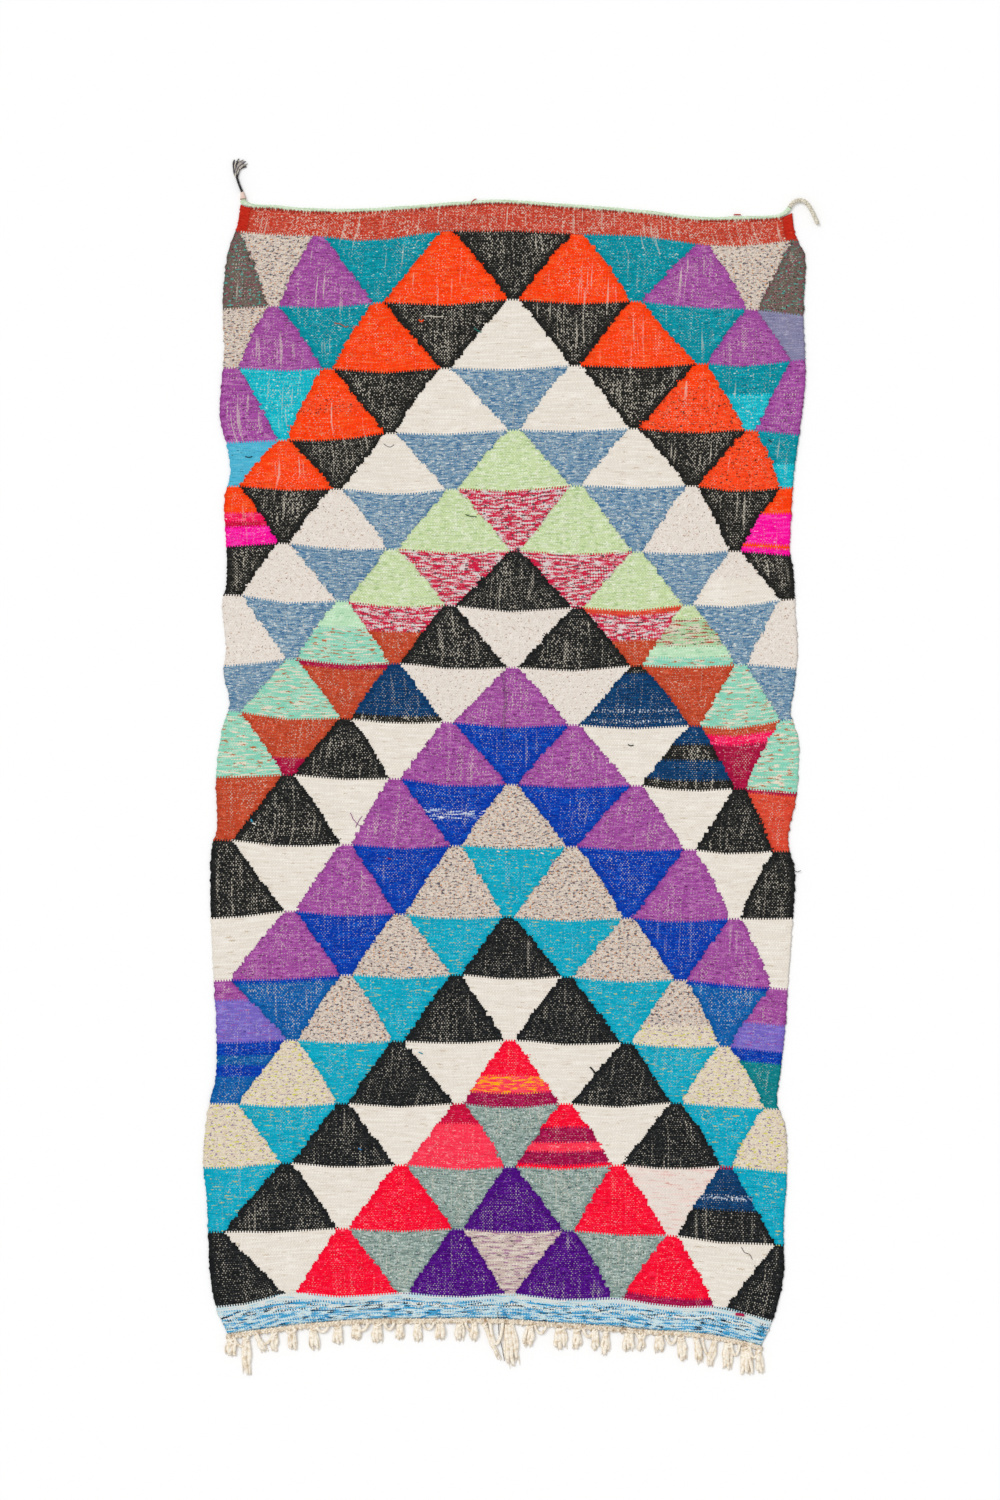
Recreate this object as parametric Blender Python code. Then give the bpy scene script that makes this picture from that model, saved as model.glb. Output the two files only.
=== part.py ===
"""A hand-woven patchwork flatweave rug, lying flat.

The pieces are the cloth, the green heading braid along its top end, the plaited edge with its knotted
tassels along its bottom end, and the two ties at the top corners, one of them with a wrapped root and a tuft.

Lengths are in metres and tables in millimetres. X is the width, +Y points to the heading end, +Z is up.
The origin is on the floor, under the middle of the box round the cloth, the braid and the fringe.
"""

import math
from collections import namedtuple

import bmesh
import bpy
from mathutils import Vector

MM = 0.001

# Cloth
CLOTH_THICKNESS = 0.004
SELVEDGE_ROUND = 0.001
OUTLINE_STEP = 0.025

# Clearance between two pieces that touch
GAP = 0.0005
FRINGE_GAP = 0.001

# Heading braid
HEADING_DIAMETER = 0.009
HEADING_STEP = 0.026
HEADING_INSET = 0.035

# Plaited edge and tassels
PLAIT_WIDTH = 0.012
PLAIT_HEIGHT = 0.006
PLAIT_BUMP = 0.0015
LOCK_PITCH = 0.007
LOCK_GAP = 0.001
KNOT_REACH = (0.004, 0.010, 0.016)
KNOT_SWELL = (0.85, 1.12, 0.95)
KNOT_HEIGHT = (0.006, 0.010, 0.007)
LOCK_REACH = (0.35, 0.72, 1.0)
LOCK_SWELL = (0.92, 1.0, 0.62)
LOCK_HEIGHT = (0.0065, 0.0060, 0.0035)
LOCK_CROWN = 0.7  # top of a lock's section against its base
LOCK_SWAY = 0.0005
LOCK_SHORTFALL = 0.06  # most a lock falls short of its tassel's tip, as a share of its length

# Corner ties
LEFT_TIE_DIAMETER = 0.006
RIGHT_TIE_DIAMETER = 0.009
WRAP_ROOT_RADIUS = 0.0065
WRAP_TIP_RADIUS = 0.0042
TUFT_LOCKS = 6
TUFT_LOCK_WIDTHS = (0.0024, 0.0030, 0.0038, 0.0024)
TUFT_LOCK_HEIGHTS = (0.0055, 0.0055, 0.0045, 0.0030)
TUFT_LOCK_STEPS = (0.22, 0.50, 0.78, 1.0)
TUFT_REACH = 0.038
TUFT_CROWN_REACH = 0.006
TUFT_FIRST_ANGLE = math.radians(88)
TUFT_LAST_ANGLE = math.radians(36)
TUFT_CURL = math.radians(26)
TUFT_KNEE = 0.55  # where a lock bends, as a share of its reach
TUFT_HEAD_WIDTH = 0.013
TUFT_HEAD_ROOT = 0.6  # width of the head at the tie against its width at the locks
TUFT_HEAD_DEPTH = 0.005
TUFT_HEAD_HEIGHT = 0.0065
ROUTE_PARTS = 8  # pieces that each leg of a route is smoothed in

EdgeRow = namedtuple("EdgeRow", "at reach")
TasselRow = namedtuple("TasselRow", "root tip tip_y width locks")
RoutePoint = namedtuple("RoutePoint", "x y")

# The top end, where the heading braid lies: X, then Y, in mm
TOP_END = [
    EdgeRow(-659, 1456), EdgeRow(-644, 1449), EdgeRow(-574, 1445), EdgeRow(-511, 1439), EdgeRow(-386, 1436),
    EdgeRow(-261, 1442), EdgeRow(-136, 1452), EdgeRow(-11, 1459), EdgeRow(114, 1451), EdgeRow(239, 1442),
    EdgeRow(364, 1431), EdgeRow(489, 1416), EdgeRow(601, 1418), EdgeRow(689, 1422), EdgeRow(719, 1435),
]

# The bottom end, above the plaited edge: X, then Y, in mm
BOTTOM_END = [
    EdgeRow(-691, -1367), EdgeRow(-636, -1358), EdgeRow(-511, -1342), EdgeRow(-449, -1336), EdgeRow(-366, -1330),
    EdgeRow(-261, -1328), EdgeRow(-11, -1328), EdgeRow(114, -1337), EdgeRow(239, -1345), EdgeRow(364, -1356),
    EdgeRow(489, -1364), EdgeRow(611, -1387), EdgeRow(641, -1397),
]

# The two selvedges, which pinch and swell from one row of patches to the next: Y, then X, in mm
LEFT_SELVEDGE = [
    EdgeRow(1456, -659), EdgeRow(1392, -671), EdgeRow(1342, -691), EdgeRow(1217, -704), EdgeRow(1092, -701),
    EdgeRow(967, -711), EdgeRow(905, -709), EdgeRow(842, -691), EdgeRow(780, -686), EdgeRow(717, -701),
    EdgeRow(592, -695), EdgeRow(497, -696), EdgeRow(467, -707), EdgeRow(342, -696), EdgeRow(290, -704),
    EdgeRow(205, -686), EdgeRow(155, -704), EdgeRow(30, -721), EdgeRow(-107, -719), EdgeRow(-150, -732),
    EdgeRow(-282, -736), EdgeRow(-407, -731), EdgeRow(-595, -721), EdgeRow(-720, -721), EdgeRow(-782, -736),
    EdgeRow(-845, -747), EdgeRow(-945, -753), EdgeRow(-1032, -744), EdgeRow(-1157, -740), EdgeRow(-1232, -735),
    EdgeRow(-1312, -719), EdgeRow(-1367, -691),
]
RIGHT_SELVEDGE = [
    EdgeRow(1435, 719), EdgeRow(1370, 730), EdgeRow(1337, 751), EdgeRow(1217, 749), EdgeRow(1155, 748),
    EdgeRow(1030, 753), EdgeRow(967, 748), EdgeRow(842, 731), EdgeRow(780, 723), EdgeRow(655, 716),
    EdgeRow(592, 713), EdgeRow(550, 721), EdgeRow(405, 729), EdgeRow(342, 733), EdgeRow(242, 724),
    EdgeRow(185, 714), EdgeRow(142, 729), EdgeRow(92, 736), EdgeRow(-32, 729), EdgeRow(-107, 711),
    EdgeRow(-152, 710), EdgeRow(-207, 726), EdgeRow(-327, 721), EdgeRow(-470, 711), EdgeRow(-595, 703),
    EdgeRow(-720, 689), EdgeRow(-795, 681), EdgeRow(-845, 702), EdgeRow(-970, 706), EdgeRow(-1095, 698),
    EdgeRow(-1220, 698), EdgeRow(-1312, 678), EdgeRow(-1370, 655), EdgeRow(-1397, 641),
]

# The tassels from left to right: root X, tip X, tip Y, width at the brush in mm, and number of locks
TASSELS = [
    TasselRow(-681, -687, -1420, 30, 3), TasselRow(-646, -644, -1463, 26, 3), TasselRow(-621, -598, -1410, 16, 2),
    TasselRow(-574, -575, -1408, 18, 2), TasselRow(-531, -527, -1404, 26, 3), TasselRow(-479, -474, -1407, 28, 3),
    TasselRow(-416, -415, -1390, 25, 3), TasselRow(-371, -369, -1382, 24, 3), TasselRow(-317, -316, -1387, 33, 4),
    TasselRow(-261, -260, -1381, 25, 3), TasselRow(-216, -214, -1384, 24, 3), TasselRow(-161, -160, -1382, 26, 3),
    TasselRow(-111, -109, -1382, 24, 3), TasselRow(-75, -76, -1385, 17, 2), TasselRow(-51, -14, -1425, 8, 1),
    TasselRow(11, 21, -1446, 36, 4), TasselRow(64, 61, -1397, 26, 3), TasselRow(141, 141, -1405, 30, 3),
    TasselRow(181, 182, -1402, 24, 3), TasselRow(226, 226, -1407, 18, 2), TasselRow(254, 254, -1416, 18, 2),
    TasselRow(311, 309, -1411, 24, 3), TasselRow(341, 344, -1407, 16, 2), TasselRow(386, 386, -1414, 25, 3),
    TasselRow(441, 446, -1429, 26, 3), TasselRow(478, 489, -1440, 17, 2), TasselRow(526, 514, -1444, 18, 2),
    TasselRow(559, 556, -1454, 28, 3), TasselRow(601, 606, -1467, 35, 4), TasselRow(634, 642, -1463, 18, 2),
]

# The heading braid's ears, from each corner inwards, in mm
LEFT_EAR = [RoutePoint(-653, 1467.9), RoutePoint(-651.9, 1463.2), RoutePoint(-648.3, 1459.8), RoutePoint(-642, 1457)]
RIGHT_EAR = [RoutePoint(712.4, 1448.4), RoutePoint(709.8, 1443.2), RoutePoint(705.4, 1438.2), RoutePoint(698, 1432.8)]

# The corner ties' routes on the floor, in mm
LEFT_WRAP_ROUTE = [RoutePoint(-653.2, 1469.3), RoutePoint(-654.2, 1478), RoutePoint(-656, 1487)]
LEFT_TIE_ROUTE = [
    RoutePoint(-656.4, 1488.2), RoutePoint(-658, 1492.5), RoutePoint(-659.8, 1497), RoutePoint(-661.8, 1502),
    RoutePoint(-663.8, 1507), RoutePoint(-665.6, 1512), RoutePoint(-667.2, 1517), RoutePoint(-668.6, 1522),
    RoutePoint(-669.5, 1526),
]
RIGHT_TIE_ROUTE = [
    RoutePoint(712.8, 1449.1), RoutePoint(715.5, 1454.2), RoutePoint(719.7, 1459.2), RoutePoint(725.5, 1463.3),
    RoutePoint(733, 1466), RoutePoint(741, 1466.5), RoutePoint(748.5, 1464.4), RoutePoint(755, 1459.8),
    RoutePoint(760.5, 1453), RoutePoint(764.8, 1446), RoutePoint(768.8, 1438.5), RoutePoint(772.6, 1430.5),
    RoutePoint(776.3, 1422.3), RoutePoint(779.8, 1414.8), RoutePoint(783, 1408),
]


def slope_at(rows, index):
    """Slope of the smooth line through a table at one of its rows."""
    before = rows[max(index - 1, 0)]
    after = rows[min(index + 1, len(rows) - 1)]
    return (after.reach - before.reach) / (after.at - before.at)


def read_edge(rows, at):
    """Reach of an edge, in metres, on the smooth line through a table of millimetres."""
    at = at / MM
    ordered = sorted(rows)
    at = min(max(at, ordered[0].at), ordered[-1].at)
    index = max(i for i in range(len(ordered) - 1) if ordered[i].at <= at)
    low, high = ordered[index], ordered[index + 1]
    span = high.at - low.at
    t = (at - low.at) / span
    rise = high.reach - low.reach
    start = slope_at(ordered, index) * span - rise
    end = rise - slope_at(ordered, index + 1) * span
    return (low.reach + rise * t + t * (1 - t) * ((1 - t) * start + t * end)) * MM


def stations(first, last, step):
    """Evenly spaced values from first to last, both included, about a step apart."""
    count = max(2, round(abs(last - first) / step) + 1)
    return [first + (last - first) * i / (count - 1) for i in range(count)]


def cloth_outline():
    """The cloth's outline, clockwise from its top left corner."""
    left, right = TOP_END[0].at * MM, TOP_END[-1].at * MM
    points = [(x, read_edge(TOP_END, x)) for x in stations(left, right, OUTLINE_STEP)]
    top, bottom = RIGHT_SELVEDGE[0].at * MM, RIGHT_SELVEDGE[-1].at * MM
    points += [(read_edge(RIGHT_SELVEDGE, y), y) for y in stations(top, bottom, OUTLINE_STEP)[1:]]
    right, left = BOTTOM_END[-1].at * MM, BOTTOM_END[0].at * MM
    points += [(x, read_edge(BOTTOM_END, x)) for x in stations(right, left, OUTLINE_STEP)[1:]]
    bottom, top = LEFT_SELVEDGE[-1].at * MM, LEFT_SELVEDGE[0].at * MM
    points += [(read_edge(LEFT_SELVEDGE, y), y) for y in stations(bottom, top, OUTLINE_STEP)[1:-1]]
    return points


def make_material(name, colour, roughness):
    """A plain Principled material in one yarn's colour."""
    material = bpy.data.materials.new(name)
    material.use_nodes = True
    shader = material.node_tree.nodes["Principled BSDF"]
    shader.inputs["Base Color"].default_value = (*colour, 1.0)
    shader.inputs["Roughness"].default_value = roughness
    shader.inputs["Metallic"].default_value = 0.0
    material.diffuse_color = (*colour, 1.0)
    return material


def add_object(name, data, material, collection):
    """Link new data as a named object with its material."""
    data.materials.append(material)
    item = bpy.data.objects.new(name, data)
    collection.objects.link(item)
    return item


def add_poly_spline(curve, points, radii=None):
    """Add a POLY spline through the points, with a radius factor for each when given."""
    spline = curve.splines.new("POLY")
    spline.points.add(len(points) - 1)
    for index, point in enumerate(points):
        spline.points[index].co = (*point, 1.0)
        spline.points[index].radius = radii[index] if radii else 1.0
    return spline


def make_cloth(collection):
    """The woven cloth: a flat slab with the uneven outline and slightly rounded edges."""
    curve = bpy.data.curves.new("rug_cloth", "CURVE")
    curve.dimensions = "2D"
    curve.fill_mode = "BOTH"
    curve.extrude = CLOTH_THICKNESS / 2 - SELVEDGE_ROUND
    curve.bevel_depth = SELVEDGE_ROUND
    curve.bevel_resolution = 0
    curve.offset = -SELVEDGE_ROUND
    spline = add_poly_spline(curve, [(x, y, 0.0) for x, y in cloth_outline()])
    spline.use_cyclic_u = True
    material = make_material("woven_wool", (0.62, 0.48, 0.42), 0.9)
    cloth = add_object("rug_cloth", curve, material, collection)
    cloth.location.z = CLOTH_THICKNESS / 2
    return cloth


def make_tube(name, points, radii, material, collection):
    """A round cord through the points, with flat ends."""
    thickest = max(radii)
    curve = bpy.data.curves.new(name, "CURVE")
    curve.dimensions = "3D"
    curve.bevel_depth = thickest
    curve.bevel_resolution = 2
    curve.use_fill_caps = True
    add_poly_spline(curve, points, [radius / thickest for radius in radii])
    return add_object(name, curve, material, collection)


def make_heading(collection):
    """The green braid that lies against the cloth's top end and turns up into an ear at each corner."""
    radius = HEADING_DIAMETER / 2
    left, right = TOP_END[0].at * MM + HEADING_INSET, TOP_END[-1].at * MM - HEADING_INSET
    points = [(ear.x * MM, ear.y * MM, radius) for ear in LEFT_EAR]
    for x in stations(left, right, HEADING_STEP):
        points.append((x, read_edge(TOP_END, x) + radius + GAP, radius))
    points += [(ear.x * MM, ear.y * MM, radius) for ear in reversed(RIGHT_EAR)]
    material = make_material("green_braid", (0.58, 0.72, 0.50), 0.9)
    return make_tube("heading_braid", points, [radius] * len(points), material, collection)


def start_strip(mesh, columns, corner):
    """A closed strip one face deep, where corner(column, side, level) places each of its points."""
    grid = bmesh.ops.create_grid(mesh, x_segments=columns, y_segments=1, size=0.5)["verts"]
    mesh.faces.ensure_lookup_table()
    made = bmesh.ops.extrude_face_region(mesh, geom=mesh.faces[:])["geom"]
    raised = {item for item in made if isinstance(item, bmesh.types.BMVert)}
    for vert in grid + list(raised):
        column = round((vert.co.x + 0.5) * columns)
        vert.co = corner(column, 0 if vert.co.y > 0 else 1, 1 if vert in raised else 0)
    bmesh.ops.recalc_face_normals(mesh, faces=mesh.faces[:])


def side_faces(mesh, columns, corner):
    """The strip's outer side faces in order, one for each column."""
    wanted = []
    for column in range(columns):
        ends = (corner(column, 1, 0), corner(column + 1, 1, 0), corner(column, 1, 1), corner(column + 1, 1, 1))
        middle = sum((Vector(end) for end in ends), Vector()) / 4
        wanted.append(min(mesh.faces, key=lambda face: (face.calc_center_median() - middle).length_squared))
    return wanted


def place_ring(verts, centre, across, width, height):
    """Move the points of a lock's end to a low flat-based ring at the centre."""
    base = min(vert.co.z for vert in verts)
    top = max(vert.co.z for vert in verts)
    spans = [(vert.co.xy - centre).dot(across) for vert in verts]
    least, most = min(spans), max(spans)
    for vert, span in zip(verts, spans):
        is_top = vert.co.z > (base + top) / 2
        place = (span - least) / (most - least) - 0.5
        reach = width * place * (LOCK_CROWN if is_top else 1.0)
        spot = centre + across * reach
        vert.co = (spot.x, spot.y, height if is_top else 0.0)


def grow_together(mesh, faces, centre, across, width, height):
    """Extrude neighbouring faces as one bundle and give back their new ends in order."""
    made = bmesh.ops.extrude_face_region(mesh, geom=faces)["geom"]
    ends = [item for item in made if isinstance(item, bmesh.types.BMFace)]
    bmesh.ops.delete(mesh, geom=[face for face in faces if face.is_valid], context="FACES_ONLY")
    place_ring(list({vert for face in ends for vert in face.verts}), centre, across, width, height)
    return sorted(ends, key=lambda face: (face.calc_center_median().xy - centre).dot(across))


def grow_lock(mesh, face, centres, across, widths, heights):
    """Extrude one face through the centres as a single four-sided lock."""
    for centre, width, height in zip(centres, widths, heights):
        face = bmesh.ops.extrude_discrete_faces(mesh, faces=[face])["faces"][0]
        place_ring(list(face.verts), centre, across, width, height)


def grow_tassel(mesh, faces, row):
    """A knotted tassel: a bundle with a neck and a knot, which parts into flat locks."""
    start = sum((face.calc_center_median() for face in faces), Vector()).xy / len(faces)
    tip = Vector((row.tip * MM, row.tip_y * MM))
    away = (tip - start).normalized()
    across = Vector((-away.y, away.x))
    length = (tip - start).length
    root_width = LOCK_PITCH * len(faces) - LOCK_GAP
    spread = row.width * MM
    for reach, swell, height in zip(KNOT_REACH, KNOT_SWELL, KNOT_HEIGHT):
        faces = grow_together(mesh, faces, start + away * reach, across, root_width * swell, height)
    knot_end = start + away * KNOT_REACH[-1]
    left = length - KNOT_REACH[-1]
    root_pitch = root_width * KNOT_SWELL[-1] / len(faces)
    tip_pitch = spread / len(faces)
    for index, face in enumerate(faces):
        side = index - (len(faces) - 1) / 2
        sway = LOCK_SWAY * math.sin(index + row.root)
        full = 1.0 - LOCK_SHORTFALL * max(0.0, math.cos(index + row.root))
        centres, widths = [], []
        for reach, swell in zip(LOCK_REACH, LOCK_SWELL):
            pitch = root_pitch + (tip_pitch - root_pitch) * reach
            centres.append(knot_end + away * left * reach * full + across * (side * pitch + sway * reach))
            widths.append((pitch - LOCK_GAP) * swell)
        grow_lock(mesh, face, centres, across, widths, LOCK_HEIGHT)


def make_fringe(collection):
    """The plaited edge below the cloth with its knotted tassels, as one piece."""
    left, right = BOTTOM_END[0].at * MM, BOTTOM_END[-1].at * MM
    columns = round((right - left) / LOCK_PITCH)

    def corner(column, side, level):
        x = left + (right - left) * column / columns
        y = read_edge(BOTTOM_END, x) - FRINGE_GAP - side * PLAIT_WIDTH
        bump = PLAIT_BUMP * (column % 2) if side else 0.0
        return (x, y - bump, level * (PLAIT_HEIGHT + PLAIT_BUMP * (column % 2)))

    mesh = bmesh.new()
    start_strip(mesh, columns, corner)
    roots = side_faces(mesh, columns, corner)
    for row in TASSELS:
        middle = (row.root * MM - left) / (right - left) * columns
        first = min(max(round(middle - row.locks / 2), 0), columns - row.locks)
        grow_tassel(mesh, roots[first:first + row.locks], row)
    bmesh.ops.recalc_face_normals(mesh, faces=mesh.faces[:])
    data = bpy.data.meshes.new("fringe")
    mesh.to_mesh(data)
    mesh.free()
    material = make_material("warp_wool", (0.76, 0.70, 0.60), 0.9)
    return add_object("fringe", data, material, collection)


def make_corner_tuft(collection):
    """The loose tuft at the end of the left tie: a low head with locks that fan out and curl to one side."""
    end, before = LEFT_TIE_ROUTE[-1], LEFT_TIE_ROUTE[-3]
    along = Vector((end.x - before.x, end.y - before.y)).normalized()
    across = Vector((along.y, -along.x))
    root = Vector((end.x, end.y)) * MM + along * GAP
    crest = root + along * TUFT_HEAD_DEPTH

    def corner(column, side, level):
        place = (column / TUFT_LOCKS - 0.5) * TUFT_HEAD_WIDTH
        spot = root + along * TUFT_HEAD_DEPTH * side + across * place * (1.0 if side else TUFT_HEAD_ROOT)
        return (spot.x, spot.y, level * TUFT_HEAD_HEIGHT)

    mesh = bmesh.new()
    start_strip(mesh, TUFT_LOCKS, corner)
    for index, face in enumerate(side_faces(mesh, TUFT_LOCKS, corner)):
        share = index / (TUFT_LOCKS - 1)
        angle = TUFT_FIRST_ANGLE + (TUFT_LAST_ANGLE - TUFT_FIRST_ANGLE) * share
        reach = TUFT_REACH + TUFT_CROWN_REACH * math.sin(math.pi * share)
        tip = crest + Vector((math.cos(angle), math.sin(angle))) * reach
        bend = angle + TUFT_CURL
        start = face.calc_center_median().xy
        knee = crest + Vector((math.cos(bend), math.sin(bend))) * reach * TUFT_KNEE
        centres = [start * (1 - t) ** 2 + knee * 2 * t * (1 - t) + tip * t * t for t in TUFT_LOCK_STEPS]
        lean = (tip - start).normalized()
        grow_lock(mesh, face, centres, Vector((lean.y, -lean.x)), TUFT_LOCK_WIDTHS, TUFT_LOCK_HEIGHTS)
    bmesh.ops.recalc_face_normals(mesh, faces=mesh.faces[:])
    data = bpy.data.meshes.new("corner_tuft_left")
    mesh.to_mesh(data)
    mesh.free()
    material = make_material("grey_tuft", (0.16, 0.15, 0.14), 0.9)
    return add_object("corner_tuft_left", data, material, collection)


def smooth_route(route, height, step):
    """Points about a step apart on a smooth curve through a route on the floor, at one height."""
    ends = [route[0], *route, route[-1]]
    dense = []
    for index in range(1, len(ends) - 2):
        a, b, c, d = (Vector((p.x * MM, p.y * MM, height)) for p in ends[index - 1:index + 3])
        for part in range(ROUTE_PARTS):
            t = part / ROUTE_PARTS
            dense.append(
                (b * 2 + (c - a) * t + (a * 2 - b * 5 + c * 4 - d) * t * t + (b * 3 - a - c * 3 + d) * t**3) / 2
            )
    dense.append(Vector((route[-1].x * MM, route[-1].y * MM, height)))
    lengths = [0.0]
    for before, after in zip(dense, dense[1:]):
        lengths.append(lengths[-1] + (after - before).length)
    points = []
    for wanted in stations(0.0, lengths[-1], step):
        index = max(i for i in range(len(dense) - 1) if lengths[i] <= wanted + 1e-9)
        share = (wanted - lengths[index]) / (lengths[index + 1] - lengths[index])
        points.append(dense[index].lerp(dense[index + 1], share))
    return points


def make_corner_ties(collection):
    """The wrapped root and dark tie at the left corner, and the cream tie at the right corner."""
    count = len(LEFT_WRAP_ROUTE)
    radii = [WRAP_ROOT_RADIUS + (WRAP_TIP_RADIUS - WRAP_ROOT_RADIUS) * i / (count - 1) for i in range(count)]
    wrap_points = [(p.x * MM, p.y * MM, radius) for p, radius in zip(LEFT_WRAP_ROUTE, radii)]
    wrap_material = make_material("beige_wrapping", (0.72, 0.60, 0.50), 0.9)
    wrap = make_tube("corner_wrap_left", wrap_points, radii, wrap_material, collection)

    left_radius = LEFT_TIE_DIAMETER / 2
    left_points = smooth_route(LEFT_TIE_ROUTE, left_radius, 2 * LEFT_TIE_DIAMETER)
    left_material = make_material("grey_tie", (0.10, 0.09, 0.09), 0.9)
    left = make_tube("corner_tie_left", left_points, [left_radius] * len(left_points), left_material, collection)

    right_radius = RIGHT_TIE_DIAMETER / 2
    right_points = smooth_route(RIGHT_TIE_ROUTE, right_radius, RIGHT_TIE_DIAMETER)
    right_material = make_material("cream_tie", (0.74, 0.70, 0.60), 0.9)
    right = make_tube(
        "corner_tie_right", right_points, [right_radius] * len(right_points), right_material, collection
    )
    return wrap, left, right


def main():
    """Clear the scene and make every piece."""
    for item in list(bpy.data.objects):
        bpy.data.objects.remove(item, do_unlink=True)
    collection = bpy.data.collections.new("boucherouite_rug")
    bpy.context.scene.collection.children.link(collection)
    make_cloth(collection)
    make_heading(collection)
    make_fringe(collection)
    make_corner_ties(collection)
    make_corner_tuft(collection)


main()
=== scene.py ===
"""The boucherouite rug, dressed for its picture.

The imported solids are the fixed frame. The weave, the heading cord, the plaited edge with its tassels and the
two corner ties are made over them in thread-like detail, in metres, in the rug's own frame: X across, +Y
towards the corded end, +Z up out of the face.
"""

from __future__ import annotations

import logging
import math
from bisect import bisect_left
from dataclasses import dataclass, field
from enum import Enum

import bpy
import numpy as np
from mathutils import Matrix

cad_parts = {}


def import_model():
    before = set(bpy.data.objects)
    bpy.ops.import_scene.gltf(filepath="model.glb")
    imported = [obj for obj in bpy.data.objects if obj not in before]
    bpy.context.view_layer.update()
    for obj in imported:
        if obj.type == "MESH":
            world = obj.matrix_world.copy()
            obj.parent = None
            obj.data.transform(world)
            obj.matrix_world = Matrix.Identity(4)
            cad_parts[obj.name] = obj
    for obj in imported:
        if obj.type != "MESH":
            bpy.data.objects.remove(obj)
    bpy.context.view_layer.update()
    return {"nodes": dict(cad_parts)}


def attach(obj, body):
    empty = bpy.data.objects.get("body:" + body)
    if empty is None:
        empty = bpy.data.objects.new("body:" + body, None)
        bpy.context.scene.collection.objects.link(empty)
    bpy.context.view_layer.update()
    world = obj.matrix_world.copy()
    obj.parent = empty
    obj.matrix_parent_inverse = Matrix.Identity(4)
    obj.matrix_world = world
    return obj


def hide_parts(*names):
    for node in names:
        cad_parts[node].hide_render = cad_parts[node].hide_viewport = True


LOG = logging.getLogger("rug")
MM = 0.001
TURN = 2 * math.pi

Point = tuple[float, float]


# ---------------------------------------------------------------- finishes


@dataclass(frozen=True)
class Yarn:
    """One weft yarn: the colours of its body, second strand, fleck and spark, and the way it weaves.

    Shares run from 0 to 1, and a run is the length of one colour along the yarn, in warps.
    """

    colours: str
    marl: float
    flecks: float
    sparks: float
    warp: float
    run: float


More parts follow.
